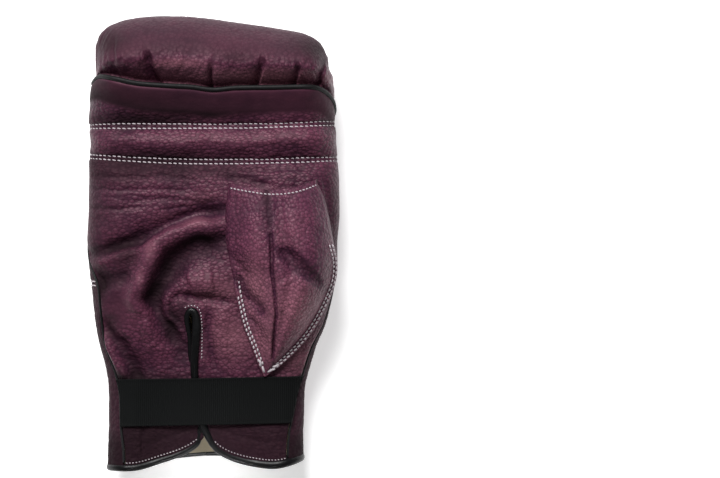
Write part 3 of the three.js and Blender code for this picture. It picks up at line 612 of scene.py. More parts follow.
def roll_relief(turn, along):
    """Fine wrinkles of the roll, fanning out over its crest and round its ends."""
    place = body_point(ROLL, turn, along)
    x, y = place[..., 0], place[..., 1]
    crest = hump(along - 0.9, 0.035)
    left_end = smooth(-across_of(turn), 0.8, 0.97)
    lift = 0.7 * crest * creasing(x + 0.35 * (y - 100), y * 0.32, 2.8, 41)
    lift += 0.6 * crest * creasing(x - 0.5 * (y - 100), y * 0.4, 5.0, 43)
    lift += 0.25 * creasing(x, y, 4.2, 45) + 0.45 * noise(x, y, 14, 46)
    lift += 0.5 * left_end * noise(x * 0.5 + place[..., 2] * 0.9, y * 0.15, 2.2, 47)
    return lift


def merged(blocks):
    """Grids of points, (rows, columns, 3), each with the faces it keeps or None for all, as points and faces."""
    points, faces, start = [], [], 0
    for grid, keep in blocks:
        rows, columns = grid.shape[:2]
        index = start + np.arange(rows * columns).reshape(rows, columns)
        quads = np.stack([index[:-1, :-1], index[:-1, 1:], index[1:, 1:], index[1:, :-1]], axis=-1)
        quads = quads[keep] if keep is not None else quads.reshape(-1, 4)
        points.append(grid.reshape(-1, 3))
        faces.append(quads.reshape(-1, 4))
        start += rows * columns
    return np.concatenate(points), np.concatenate(faces)


def build(name, points, faces, node, material, marks=None, weld=0.0):
    """A mesh piece that rides on the glove and stands for a node of the frame."""
    mesh = bpy.data.meshes.new(name)
    mesh.from_pydata((np.asarray(points) * 0.001).tolist(), [], [list(map(int, face)) for face in faces])
    for mark, values in (marks or {}).items():
        attribute = mesh.attributes.new(mark, "FLOAT", "POINT")
        attribute.data.foreach_set("value", np.asarray(values, np.float32).ravel())
    work = bmesh.new()
    work.from_mesh(mesh)
    if weld:
        bmesh.ops.remove_doubles(work, verts=work.verts, dist=weld * 0.001)
    loose = [v for v in work.verts if not v.link_faces]
    bmesh.ops.delete(work, geom=loose, context="VERTS")
    for face in work.faces:
        face.smooth = True
    work.to_mesh(mesh)
    work.free()
    piece = bpy.data.objects.new(name, mesh)
    bpy.context.scene.collection.objects.link(piece)
    mesh.materials.append(material)
    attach(piece, "root")
    if node:
        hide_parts(node)
    return piece


def tube(points, across, high, sides=12, normal=None):
    """A closed tube of an oval section along a line of points, its flat side facing along the normals."""
    points = np.asarray(points, float)
    ahead = np.gradient(points, axis=0)
    ahead /= np.linalg.norm(ahead, axis=1, keepdims=True)
    up = np.asarray(normal, float)
    up = up - (up * ahead).sum(1, keepdims=True) * ahead
    up /= np.linalg.norm(up, axis=1, keepdims=True)
    side = np.cross(ahead, up)
    angles = np.arange(sides) * 2 * math.pi / sides
    across, high = (np.broadcast_to(size, len(points))[:, None, None] for size in (across, high))
    ring = (side[:, None] * np.cos(angles)[None, :, None] * across
            + up[:, None] * np.sin(angles)[None, :, None] * high)
    grid = points[:, None] + ring
    n = len(points)
    index = np.arange(n * sides).reshape(n, sides)
    after = np.roll(index, -1, axis=1)
    faces = np.stack([index[:-1], after[:-1], after[1:], index[1:]], axis=-1).reshape(-1, 4).tolist()
    faces.append(index[0][::-1].tolist())
    faces.append(index[-1].tolist())
    return grid.reshape(-1, 3), faces


def resample(points, step, *others):
    """A line of points with even steps, and other columns carried along with it."""
    points = np.asarray(points, float)
    reached = np.concatenate([[0], np.cumsum(np.linalg.norm(np.diff(points, axis=0), axis=1))])
    count = max(int(round(reached[-1] / step)), 2)
    at = np.linspace(0, reached[-1], count + 1)
    columns = [np.stack([np.interp(at, reached, c[:, k]) for k in range(c.shape[1])], axis=1)
               for c in (points, *[np.asarray(o, float) for o in others])]
    return columns if others else columns[0]


def soften(points, passes):
    points = np.array(points, float)
    for _ in range(passes):
        points[1:-1] = points[1:-1] * 0.5 + (points[:-2] + points[2:]) * 0.25
    return points


def feed(tree, slot, value):
    """Give a socket its input: a link from another node, or a value of its own."""
    if isinstance(value, Value):
        tree.links.new(value.socket, slot)
    else:
        slot.default_value = value


class Value:
    """A socket in Python expressions: arithmetic on it adds Math nodes."""

    def __init__(self, tree, socket):
        self.tree = tree
        self.socket = socket

    def math(self, operation, *others, first=None):
        node = self.tree.nodes.new("ShaderNodeMath")
        node.operation = operation
        for slot, value in zip(node.inputs, (self if first is None else first, *others)):
            feed(self.tree, slot, value)
        return Value(self.tree, node.outputs[0])

    def __add__(self, other):
        return self.math("ADD", other)

    __radd__ = __add__

    def __sub__(self, other):
        return self.math("SUBTRACT", other)

    def __rsub__(self, other):
        return self.math("SUBTRACT", self, first=other)

    def __mul__(self, other):
        return self.math("MULTIPLY", other)

    __rmul__ = __mul__

    def clamped(self):
        return self.math("MINIMUM", 1.0).math("MAXIMUM", 0.0)


class Finish:
    """A material's node tree. Sizes of textures and depths of bumps are in millimetres."""

    def __init__(self, name):
        self.material = bpy.data.materials.new(name)
        self.material.use_nodes = True
        self.tree = self.material.node_tree
        self.shader = self.tree.nodes["Principled BSDF"]

    def node(self, kind, settings=None, output=0, **inputs):
        """Any node: its type, its settings, then its inputs by name, or by number as i0, i1 and so on."""
        node = self.tree.nodes.new(kind)
        for key, value in (settings or {}).items():
            setattr(node, key, value)
        for key, value in inputs.items():
            numbered = key[0] == "i" and key[1:].isdigit()
            feed(self.tree, node.inputs[int(key[1:]) if numbered else key], value)
        return Value(self.tree, node.outputs[output])

    def spot(self):
        return self.node("ShaderNodeTexCoord", output=3)

    def place(self, stretch=(1, 1, 1), turn=0.0):
        return self.node("ShaderNodeMapping", Vector=self.spot(), Scale=stretch, Rotation=(0, 0, turn))

    def colour_mix(self, share, a, b):
        return self.node("ShaderNodeMix", {"data_type": "RGBA"}, output=2, i0=share, i6=a, i7=b)

    def noise(self, at, size, detail=3.0, rough=0.5):
        return self.node("ShaderNodeTexNoise", Vector=at, Scale=1 / (size * 0.001), Detail=detail, Roughness=rough)

    def wander(self, at, size, reach):
        """A place shifted by noise, so that what is drawn there isn't regular."""
        colour = self.node("ShaderNodeTexNoise", output=1, Vector=at, Scale=1 / (size * 0.001), Detail=1.0)
        centred = self.node("ShaderNodeVectorMath", {"operation": "SUBTRACT"}, i0=colour, i1=(0.5, 0.5, 0.5))
        shift = self.node("ShaderNodeVectorMath", {"operation": "SCALE"}, i0=centred, Scale=reach * 0.001)
        return self.node("ShaderNodeVectorMath", {"operation": "ADD"}, i0=at, i1=shift)

    def cells(self, at, size, feature="F1"):
        return self.node("ShaderNodeTexVoronoi", {"feature": feature}, Vector=at, Scale=1 / (size * 0.001))

    def threads(self, at, pitch, axis=0):
        """Waves of this pitch along one axis, between -1 and 1."""
        way = self.node("ShaderNodeSeparateXYZ", output=axis, Vector=at)
        return (way * (2 * math.pi / (pitch * 0.001))).math("SINE")

    def mark(self, name):
        return self.node("ShaderNodeAttribute", {"attribute_name": name}, output=2)

    def bump(self, height, depth):
        return self.node("ShaderNodeBump", Height=height, Distance=depth * 0.001, Strength=1.0)

    def set(self, **sockets):
        for key, value in sockets.items():
            feed(self.tree, self.shader.inputs[key.replace("_", " ")], value)
        return self.material


def rgb(colour, gain=1.0):
    return (colour[0] * gain, colour[1] * gain, colour[2] * gain, 1.0)


def leather_finish(name, sizes, gain=1.0, pebble=1.0, stretch=(1, 1, 1)):
    """Pebbled cowhide: rounded grain with narrow valleys, with painted shade in the folds and the grain's valleys
    and painted highlight on the crests and the pebbles' tops.
    """
    look = Finish(name)
    at = look.place(stretch)
    size = sizes.pebble * 1000 * pebble
    shifted = look.wander(at, size * 1.6, size * 0.5)
    near = look.cells(shifted, size)
    dome = (1.0 - near * near * 2.0).clamped()
    valley = (1.0 - look.cells(shifted, size, "DISTANCE_TO_EDGE") * 5.0).clamped()
    fine = look.cells(at, size * 0.45, "DISTANCE_TO_EDGE")
    pores = look.noise(at, 0.4, 3.0, 0.6)
    tone = look.noise(at, 26.0, 4.0, 0.55)
    patch = look.noise(at, 6.0, 4.0, 0.6)
    relief, smoothed, shade = look.mark("relief"), look.mark("smoothed"), look.mark("shade")
    grain = ((1.0 - smoothed) * ((patch - 0.5) * 1.6 + 0.85)).clamped()
    # Random tone, with painted shade in the folds and painted highlight on the crests (from the relief mark) and
    # on the pebbles' tops.
    light = ((tone - 0.5) * 1.2 + (patch - 0.5) * 0.9 + relief * 0.14 + (dome - 0.6) * grain * 0.5 + 0.5).clamped()
    base = look.colour_mix(light, rgb(sizes.leather_dark_and_shaded, gain), rgb(sizes.leather, gain))
    # Painted shade where the shade mark is above 0, and painted highlight where it is below 0.
    base = look.colour_mix(shade.clamped(), base, rgb(sizes.leather_dark_and_shaded, gain * 0.14))
    base = look.colour_mix((shade * -0.6).clamped(), base, rgb(sizes.leather_painted_highlight, gain))
    # Painted shade in the valleys between the pebbles.
    valley_shade = look.colour_mix((valley * grain * 0.55).clamped(), base, rgb(sizes.leather_dark_and_shaded, gain * 0.3))
    rough = (0.52 - dome * 0.1 + (patch - 0.5) * 0.15 + shade.clamped() * 0.35).clamped()
    height = dome * (grain * 0.85) + fine * (grain * 0.15) + pores * 0.06
    return look.set(Base_Color=valley_shade, Roughness=rough, Normal=look.bump(height, sizes.grain_depth * 1000),
                    Specular_IOR_Level=0.24, Specular_Tint=(1.0, 0.7, 0.72, 1.0))


def trim_finish(name, colour, rough):
    """Smooth black leather that creases across itself."""
    look = Finish(name)
    at = look.place()
    creases = look.noise(at, 1.6, 3.0, 0.6)
    rub = look.noise(at, 7.0, 3.0)
    tone = ((rub - 0.42) * 2.2).clamped()
    base = look.colour_mix(tone, rgb(colour, 0.6), rgb(colour, 1.5))
    height = creases * 0.7 + look.cells(at, 0.8, "DISTANCE_TO_EDGE") * 0.6
    return look.set(Base_Color=base, Roughness=(creases * 0.3 + (rough - 0.15)).clamped(),
                    Normal=look.bump(height, 0.16), Specular_IOR_Level=0.24)


def elastic_finish(name, colour):
    """Woven elastic: fine cords across the glove's length with a thinner weft over them."""
    look = Finish(name)
    spot = look.spot()
    cord = look.threads(spot, CORD_PITCH) * 0.5 + 0.5
    weft = look.threads(spot, 0.6, axis=1) * 0.5 + 0.5
    fuzz = look.noise(spot, 0.5, 4.0, 0.7)
    tone = (cord * 0.55 + fuzz * 0.7 - 0.15).clamped()
    base = look.colour_mix(tone, rgb(colour, 0.45), rgb(colour, 1.6))
    height = cord * 0.6 + weft * cord * 0.25 + fuzz * 0.25
    return look.set(Base_Color=base, Roughness=0.82, Normal=look.bump(height, 0.3), Specular_IOR_Level=0.12)


def cloth_finish(name, colour):
    """Plain-woven cotton."""
    look = Finish(name)
    spot = look.spot()
    weave = look.threads(spot, 0.9) * look.threads(spot, 0.9, axis=1) * 0.5 + 0.5
    fuzz = look.noise(spot, 1.2, 4.0, 0.7)
    stain = look.noise(spot, 22.0, 4.0, 0.6)
    tone = (weave * 0.25 + fuzz * 0.35 + stain * 0.7 - 0.2).clamped()
    base = look.colour_mix(tone, rgb(colour, 0.62), rgb(colour, 1.12))
    return look.set(Base_Color=base, Roughness=0.92, Normal=look.bump(weave * 0.6 + fuzz * 0.5, 0.2),
                    Specular_IOR_Level=0.2)


def thread_finish(name, colour):
    """Twisted thread."""
    look = Finish(name)
    at = look.place(turn=0.7)
    twist = look.threads(at, 0.5) * 0.5 + 0.5
    dirt = look.noise(at, 14.0, 3.0)
    base = look.colour_mix((twist * 0.4 + dirt * 0.8 - 0.1).clamped(), rgb(colour, 0.62), rgb(colour, 1.05))
    return look.set(Base_Color=base, Roughness=0.7, Normal=look.bump(twist, 0.12), Specular_IOR_Level=0.3)


COLOUR = {"subtype": "COLOR", "size": 3, "min": 0, "max": 1}


class GloveSizes(bpy.types.PropertyGroup):
    leather: bpy.props.FloatVectorProperty(
        name="Leather", description="Colour of the leather where it is lit",
        default=(0.108, 0.030, 0.056), **COLOUR)
    # The dark end of the leather's random tone, and the colour of the painted shade in folds, grain valleys and
    # where the shade mark is above 0.
    leather_dark_and_shaded: bpy.props.FloatVectorProperty(
        name="Leather in folds", description="Colour of the leather in its folds",
        default=(0.035, 0.0098, 0.024), **COLOUR)
    leather_painted_highlight: bpy.props.FloatVectorProperty(
        # The colour of the painted highlight, mixed in where the shade mark is below 0 to light crests, domes and
        # the thumb.
        name="Painted highlight", description="Colour of the leather where a highlight is painted",
        default=(0.25, 0.1, 0.13), **COLOUR)
    trim: bpy.props.FloatVectorProperty(
        name="Trim", description="Colour of the piping and the binding",
        default=(0.0036, 0.0036, 0.0042), **COLOUR)
    elastic: bpy.props.FloatVectorProperty(
        name="Elastic", description="Colour of the wrist elastic",
        default=(0.0033, 0.0038, 0.0039), **COLOUR)
    cloth: bpy.props.FloatVectorProperty(
        name="Lining", description="Colour of the cotton lining",
        default=(0.44, 0.385, 0.28), **COLOUR)
    thread: bpy.props.FloatVectorProperty(
        name="Thread", description="Colour of the stitches",
        default=(0.58, 0.52, 0.55), **COLOUR)
    pebble: bpy.props.FloatProperty(
        name="Grain size", description="Distance between the leather's pebbles", unit="LENGTH",
        min=0.0003, max=0.005, default=0.0021)
    grain_depth: bpy.props.FloatProperty(
        name="Grain depth", description="Depth of the valleys between the pebbles", unit="LENGTH",
        min=0.0, max=0.002, default=0.0004)
    stitch: bpy.props.FloatProperty(
        name="Stitch pitch", description="Distance from one stitch to the next", unit="LENGTH",
        min=0.001, max=0.01, default=0.0029)
    thread_width: bpy.props.FloatProperty(
        name="Thread width", description="Thickness of the thread", unit="LENGTH",
        min=0.0002, max=0.003, default=0.00095)


class GLOVE_OT_back(bpy.types.Operator):
    """Make the padded back with the roll over the fingertips"""

    bl_idname = "glove.back"
    bl_label = "Padded back"

    def execute(self, context):
        sizes = context.scene.glove_sizes
        border, inner_rows = ROLL_BORDER, 34
        columns = np.linspace(0, 1, 291)
        tuck = ROLL_TUCK / LENGTH

        left, right = side_seams(border)
        blocks = []
        # the roll, all round
        turns = np.concatenate([mix(left, right, columns), mix(right, left + 4, columns)[1:]])
        t, a = np.meshgrid(wrapped(turns), mix(border, 1.0, np.sin(np.linspace(0, 1, 46) * math.pi / 2)))
        cap = off_skin(t, a, roll_relief(t, a) * upper_part(t), ROLL)
        blocks.append((cap, None))
        # the tucked part of the roll, under the palm panel's edge
        v = np.linspace(0, 1, inner_rows)[:, None]
        turn = mix(left, right, columns)[None, :] + 0 * v
        low = panel_edge(turn) - tuck
        a = mix(low, border, v)
        roll = off_skin(turn, a, roll_relief(turn, a), ROLL)
        under = off_skin(turn, a, -LEATHER - 0.6)
        from_side = np.minimum(turn - left, right - turn)
        shown = smooth(a, low + tuck * 0.75, low + tuck * 1.35)
        shown = np.maximum(shown, 1 - smooth(from_side, 0.0, 0.05))
        blocks.append((mix(under, roll, shown[..., None]), None))
        # the back of the hand and the sides, from one seam round to the other
        join = mix(panel_edge(right) - tuck, panel_edge(left) - tuck, columns)[None, :]
        rows = np.concatenate([np.linspace(0, 1, 121)[:-1], 1 + np.linspace(0, 1, inner_rows)])[:, None]
        middle = wrapped(mix(right, left + 4, columns))
        start = follow(BACK_EDGE, 1, across_of(middle))[None, :] + 1.5 / LENGTH
        a = np.where(rows < 1, mix(start, join, np.clip(rows, 0, 1)), mix(join, border, np.clip(rows - 1, 0, 1)))
        seam_left, seam_right = side_seams(a)
        t = wrapped(mix(seam_right, seam_left + 4, columns[None, :]))
        lower = smooth(a, 0.3, 0.42) * smooth(np.abs(t), 1.4, 1.75)
        place = body_point(OUTER, t, a)
        x, y, z = place[..., 0], place[..., 1], place[..., 2]
        lift = 0.45 * noise(x + z, y, 15, 51) + 0.4 * creasing(x * 0.7 + z, y * 1.3, 6, 52)
        blend = smooth(a, join - 0.02, border)
        lift = mix(lift * (1 - lower), roll_relief(t, a) * upper_part(t), blend)
        for row in BACK_ROWS:
            lift = lift - 0.6 * hump(y - along_to_y(BACK_SEAM) - row, 0.8)
        from_seam = np.minimum(columns, 1 - columns)[None, :] * 190
        lift = lift - 1.1 * (1 - rounded_edge(from_seam / 1.8)) * (1 - blend)
        strip = off_skin(t, a, lift)
        blocks.append((strip, None))
        points, faces = merged(blocks)
        crown = smooth(points[:, 2], 12, 44)
        smoothed = mix(0.3, 0.15 + 0.5 * smooth(points[:, 1], 100, 114), crown)
        smoothed = np.maximum(smoothed, 0.7 * smooth(-points[:, 0], 58, 62) * crown * smooth(points[:, 1], 80, 90))
        # Painted shade: darker towards the cuff, over the roll's far top, on the lower sides and in the roll's
        # gathers, with the painted shade and highlight patches of the roll.
        shade = 0.97 * (1 - smooth(points[:, 1], -116, -85)) + 0.5 * crown * smooth(points[:, 1], 96, 112)
        shade = np.maximum(shade, 0.72 * (points[:, 1] < 60) * smooth(points[:, 2], 12, 20))
        tone, smoothness = shade_patches_at(points[:, 0], points[:, 1], ROLL_SHADE_PATCHES)
        shade = np.maximum(shade, 0.1 * gathered(points[:, 0], points[:, 1]) * crown) + tone * crown
        smoothed = smoothed + smoothness * crown
        marks = {"smoothed": smoothed, "shade": shade}
        piece = build("padded_back_leather", points, faces, "padded_back",
                      leather_finish("wine_leather_back", sizes), marks, weld=0.05)
        return {"FINISHED"}


class GLOVE_OT_palm(bpy.types.Operator):
    """Make the palm panel with its slit, folds and sewn channels"""

    bl_idname = "glove.palm"
    bl_label = "Palm panel"

    def execute(self, context):
        sizes = context.scene.glove_sizes
        u, v = np.meshgrid(np.linspace(0, 1, 220), np.linspace(0, 1, 300))
        turn, along = panel_place(u, v, 0.6, 1.6)
        relief = palm_relief(turn, along)
        edge = np.minimum(np.minimum(u, 1 - u) * 165, np.minimum(v, 1 - v) * 218)
        rim = 1 - rounded_edge(edge / 2.6)
        top = palm_skin(turn, along, relief * (1 - rim) - 1.5 * rim)
        inner = palm_skin(turn, along, relief * (1 - rim) - LEATHER)
        shown = ~cut_away((top[:-1, :-1] + top[1:, 1:]) / 2, 0.0)
        points, faces = merged([(top, shown)])
        look = leather_finish("wine_leather_palm", sizes, stretch=(0.8, 1.15, 1))
        band = stretched_band(turn, along)
        edge = panel_edge(turn)
        # Painted shade on the band below the roll, stronger at the left and lower down, lighter just under the
        # piping, and at the cuff; then painted shade in the folds and the painted patches.
        rim_lit = smooth(along, edge - 0.012, edge - 0.006)
        left_more = 1 - smooth(turn, -0.6, 0.6)
        low_more = 1 - smooth(along, edge - 0.07, edge - 0.01)
        cuff_shade = mix(0.85, 0.97, left_more) * (1 - smooth(along, 0.11, 0.16))
        shade = (0.42 + 0.25 * left_more + 0.3 * low_more) * band * (1 - rim_lit) + cuff_shade
        tone, smoothness = shade_patches_at(top[..., 0], top[..., 1], PALM_SHADE_PATCHES)
        shade = np.maximum(shade, 0.2 * np.clip(-relief, 0, 3)) + tone
        marks = {"relief": np.clip(relief, -2, 2), "smoothed": 0.9 * band + smoothness, "shade": shade}
        palm = build("palm_leather", points, faces, "palm_panel", look, marks)
        sparse = inner[::3, ::3]
        shown = ~cut_away((sparse[:-1, :-1] + sparse[1:, 1:]) / 2, 0.6)
        points, faces = merged([(sparse[:, ::-1], shown[:, ::-1])])
        lining = build("palm_underside", points, faces, None,
                       cloth_finish("palm_backing", sizes.cloth))
        return {"FINISHED"}


class GLOVE_OT_thumb(bpy.types.Operator):
    """Make the thumb piece: sewn in a V below, an open sleeve above"""

    bl_idname = "glove.thumb"
    bl_label = "Thumb"

    def execute(self, context):
        sizes = context.scene.glove_sizes
        points, relief = thumb_top(*np.meshgrid(np.linspace(0, 1, 110), np.linspace(0, 1, 190)))
        blocks = [(points, None)]
        u, v = np.meshgrid(np.linspace(0, 1, 28), np.linspace(0, 1, 64))
        under = thumb_below(u, v, 0.0, THUMB_GAP)
        blocks.append((under[:, ::-1], None))
        mesh_points, faces = merged(blocks)
        start = points.shape[0] * points.shape[1]
        relief = np.concatenate([relief.ravel(), np.zeros(len(mesh_points) - start)])
        tone, smoothness = shade_patches_at(mesh_points[:, 0], mesh_points[:, 1], THUMB_SHADE_PATCHES)
        # Painted shade in the crease and the painted patches; the -0.28 paints the whole thumb lighter with the
        # highlight colour.
        shade = tone - 0.28 + 0.5 * np.clip(-relief - 0.5, 0, 1)
        marks = {"relief": relief, "smoothed": smoothness, "shade": shade}
        # Gain 1.3 makes a lighter copy of the leather: painted light on the raised thumb.
        look = leather_finish("wine_leather_thumb", sizes, gain=1.3, pebble=0.95)
        thumb = build("thumb_leather", mesh_points, faces, "thumb_sleeve", look, marks)
        upper = thumb_top(u, v * 0.6 + 0.4)[0] - np.array([0, 0, 1.6])
        lower = thumb_below(u, v * 0.6 + 0.4, 1.5, 2.0)
        blocks = [(upper[:, ::-1], None), (lower, None)]
        rim, across = points[-1], np.linspace(0, 1, upper.shape[1])
        outer = np.stack([np.interp(across, np.linspace(0, 1, len(rim)), rim[:, k]) for k in range(3)], axis=1)
        blocks.append((np.stack([outer, upper[-1]]), None))
        blocks.append((np.stack([lower[-1], under[-1]]), None))
        mesh_points, faces = merged(blocks)
        inside = build("thumb_inside", mesh_points, faces, None,
                       leather_finish("wine_leather_thumb_inside", sizes, gain=0.8, pebble=0.8))
        return {"FINISHED"}


def thumb_sides(along):
    return follow(THUMB, 1, along), follow(THUMB, 2, along)


def thumb_place(u, v, inset):
    """A place on the thumb piece from two shares, and its share from the left side (-1) to the right (1)."""
    across = 2 * np.asarray(u, float) - 1
    along = mix(THUMB[0][0], THUMB[-1][0], v) + smooth(v, 0.5, 1) * follow(THUMB_MOUTH, 1, across)
    left, right = thumb_sides(along)
    room = np.minimum(turn_of(inset, left, along), (right - left) * 0.4)
    turn = mix(left + room, right - room, u)
    return turn, along, (turn - left) / (right - left) * 2 - 1


def thumb_sewn(along):
    """1 along the V where the thumb is sewn down, 0 where it is an open sleeve."""
    return 1 - smooth(along, THUMB_SEWN_TO - 0.03, THUMB_SEWN_TO + 0.04)


def thumb_dome(share, along):
    left, right = thumb_sides(along)
    flange = thumb_sewn(along) * turn_of(THUMB_FLANGE, right, along) * 2 / (right - left)
    inner = np.clip(np.abs(share) / np.maximum(1 - flange, 0.1), 0, 1)
    crease = 0.2 * hump(share + 0.06, 0.12)
    rise = THUMB_RISE * follow(THUMB, 3, along)
    return np.maximum(rise, 0) * (1 - inner**2.2) * (1 - crease)


def thumb_below(u, v, inset, offset):
    """The thumb's lower skin, or the inside over it."""
    turn, along, _ = thumb_place(u, v, inset)
    return off_skin(turn, along, offset)


def thumb_top(u, v):
    """The thumb's upper skin with its crease, folds and sewn edge, and how far each place stands up."""
    turn, along, share = thumb_place(u, v, 0.0)
    points = off_skin(turn, along, THUMB_GAP + THUMB_THICKNESS)
    x, y = points[..., 0], points[..., 1]
    left, right = thumb_sides(along)
    width = np.linalg.norm(body_point(OUTER, right, along) - body_point(OUTER, left, along), axis=-1)
    from_edge = np.minimum(1 + share, 1 - share) * width / 2
    lift = creased(x, y, THUMB_CREASES)
    sewn = thumb_sewn(along)
    for row in THUMB_ROWS:
        lift -= 0.6 * sewn * hump(from_edge - row, 0.9)
    wrinkles = 0.5 * noise(x, y, 11, 61) + 0.4 * creasing(x * 1.2, y, 4.4, 63) + 0.2 * creasing(x, y, 2.2, 65)
    lift += wrinkles * smooth(from_edge, 0.5, 5)
    points[..., 2] += thumb_dome(share, along) + np.maximum(lift, -2.2 - thumb_dome(share, along))
    sewn_drop = (1 - rounded_edge(from_edge / 1.1)) * 2.6
    open_drop = (1 - rounded_edge(from_edge / 2.2)) * 2.9
    points[..., 2] -= sewn_drop * sewn + open_drop * (1 - sewn)
    return points, np.clip(lift, -1.5, 1.5)


class GLOVE_OT_elastic(bpy.types.Operator):
    """Make the elastic across the wrist"""

    bl_idname = "glove.elastic"
    bl_label = "Wrist elastic"

    def execute(self, context):
        sizes = context.scene.glove_sizes
        u, v = np.meshgrid(np.linspace(0, 1, 240), np.linspace(0, 1, 60))

        def surface(u, v, height):
            along = mix(*ELASTIC_ALONG, u) + ELASTIC_WIDTH / LENGTH * (v - 0.5)
            left, right = between_seams(along, 0.8)
            turn = mix(left, right, u)
            x = body_point(OUTER, turn, along)[..., 0]
            over = 0.8 * hump(x - slit_middle(along), 15.0)
            cord = 0.09 * np.sin(x * 2 * math.pi / CORD_PITCH)
            selvedge = 0.25 * (hump(v, 0.05) + hump(1 - v, 0.05))
            slack = 0.35 * noise(x, along * 90, 14, 71)
            top = over + slack + 0.5 + height + (cord + selvedge if height else 0)
            return off_skin(turn, along, top)

        top = surface(u, v, ELASTIC_THICKNESS)
        low = surface(u[::3, ::6], v[::3, ::6], 0)
        blocks = [(top, None), (low[:, ::-1], None)]
        for a, b in ((top[0], surface(u[0], v[0], 0)), (surface(u[-1], v[-1], 0), top[-1]),
                     (surface(u[:, 0], v[:, 0], 0), top[:, 0]), (top[:, -1], surface(u[:, -1], v[:, -1], 0))):
            blocks.append((np.stack([b, a]), None))
        points, faces = merged(blocks)
        piece = build("elastic_band", points, faces, "wrist_elastic",
                      elastic_finish("black_elastic", sizes.elastic), weld=0.01)
        return {"FINISHED"}


def piping_line():
    """The piping's middle, the skin's normals and the radius: thinnest where the side seams pinch it."""
    steps = 90
    left = [(0.0, i / steps, float(np.interp(i / steps, [0, 0.18, 0.28, 1], [0.8, 0.8, 0.65, 0.8])))
            for i in range(steps)]
    top = [(u, 1.0, 1.35) for u in np.linspace(0.006, 0.994, steps)]
    right = [(1.0, 1 - i / steps, float(np.interp(1 - i / steps, [0, 0.15, 0.2, 0.3, 0.4, 1],
                                                 [0.55, 0.6, 0.75, 0.7, 0.6, 0.9]))) for i in range(1, steps + 1)]
    line = left + [(0.0, 0.994, 1.0)] + top + [(1.0, 0.994, 1.0)] + right
    u, v, radius = (np.array(column) for column in zip(*line))
    turn, along = panel_place(u, v, 0, 5.0)
    place = off_skin(turn, along, np.full(len(u), PIPING / 2 + 0.4 - LEATHER))
    place[:, 2] += band_rise(turn, along)
    return place, skin_normal(OUTER, turn, along), radius[:, None]


def cuff_point(turn):
    across = across_of(turn)
    edge = follow(FLAP_EDGE, 1, across) if abs(turn) < 1 else follow(BACK_EDGE, 1, across)
    along = edge + BINDING / 2 / LENGTH
    place = off_skin(turn, along, -LEATHER / 2)
    place[..., 2] -= cuff_dip(turn, along) * (abs(turn) < 1)
    return place, skin_normal(OUTER, turn, along)


def binding_line():
    """The binding's middle, the skin's normals and the radius: round the cuff, and round the slit on its way."""
    cuff = np.concatenate([np.linspace(-2, -0.05, 60), np.linspace(0.05, 2, 60)])
    spots = [cuff_point(t) for t in cuff]
    lines = [np.array([p for p, _ in spots]), np.array([n for _, n in spots])]
    rows = np.array(SLIT_BINDING)
    x, y = rows[:, 0] * WIDTH, along_to_y(rows[:, 1])
    turn = turn_at(x, rows[:, 1])
    lines.append(np.interp(cuff, [-2, -0.5, -0.05, 0.05, 0.4, 2], [2.1, 2.0, 1.8, 2.2, 2.5, 2.2])[:, None])
    slit = [off_skin(turn, rows[:, 1], rows[:, 2]), skin_normal(OUTER, turn, rows[:, 1]), rows[:, 3:] * 1.12]
    slit[0][:, 2] -= cuff_dip(turn, rows[:, 1])
    return [np.concatenate([a[:60], b, a[60:]]) for a, b in zip(lines, slit)]


class GLOVE_OT_trim(bpy.types.Operator):
    """Make the piping in the seams and the binding of the cuff and slit"""

    bl_idname = "glove.trim"
    bl_label = "Piping and binding"

    def execute(self, context):
        sizes = context.scene.glove_sizes
        line, *others = piping_line()
        line, up, radius = resample(line, 1.0, *others)
        line, radius = soften(line, 3), soften(radius, 6)[:, 0]
        points, faces = tube(line, radius, radius * 0.95, 12, up)
        build("piping_cord", points, faces, "seam_piping", trim_finish("black_piping", sizes.trim, 0.6))
        line, *others = binding_line()
        line, up, radius = resample(line, 0.8, *others)
        line, up, radius = soften(line, 7), soften(up, 9), soften(radius, 9)[:, 0]
        points, faces = tube(line, radius, radius * 0.82, 14, up)
        build("binding_band", points, faces, "edge_binding",
              trim_finish("black_binding", sizes.trim, 0.34))
        return {"FINISHED"}


class GLOVE_OT_lining(bpy.types.Operator):
    """Make the lining of the hand's room"""

    bl_idname = "glove.lining"
    bl_label = "Lining"

    def execute(self, context):
        sizes = context.scene.glove_sizes
        turns = np.concatenate([np.linspace(0.98, 2, 60), np.linspace(-2, -0.98, 60)[1:]])
        v = np.linspace(0, 1, 110)[:, None]
        start = follow(BACK_EDGE, 1, across_of(turns))[None, :] + 2.2 / LENGTH
        along = mix(start, HAND["tip"], np.sin(v * math.pi / 2))
        turn = turns[None, :] + 0 * v
        place = body_point(HAND, turn, along)
        rumple = 0.5 * noise(place[..., 0], place[..., 1], 13, 81)
        floor = place - skin_normal(HAND, turn, along) * (0.9 + rumple[..., None] * 0.6)
        u = np.linspace(-0.98, 0.98, 80)[None, :]
        v = np.linspace(0, 1, 40)[:, None]
        along = mix(panel_edge(u) - 8.0 / LENGTH, HAND["tip"], np.sin(v * math.pi / 2))
        ceiling = body_point(HAND, u + 0 * v, along)
        points, faces = merged([(floor, None), (ceiling[:, ::-1], None)])
        piece = build("hand_lining", points, faces[:, ::-1], "cuff_lining",
                      cloth_finish("cotton_lining", sizes.cloth))
        return {"FINISHED"}


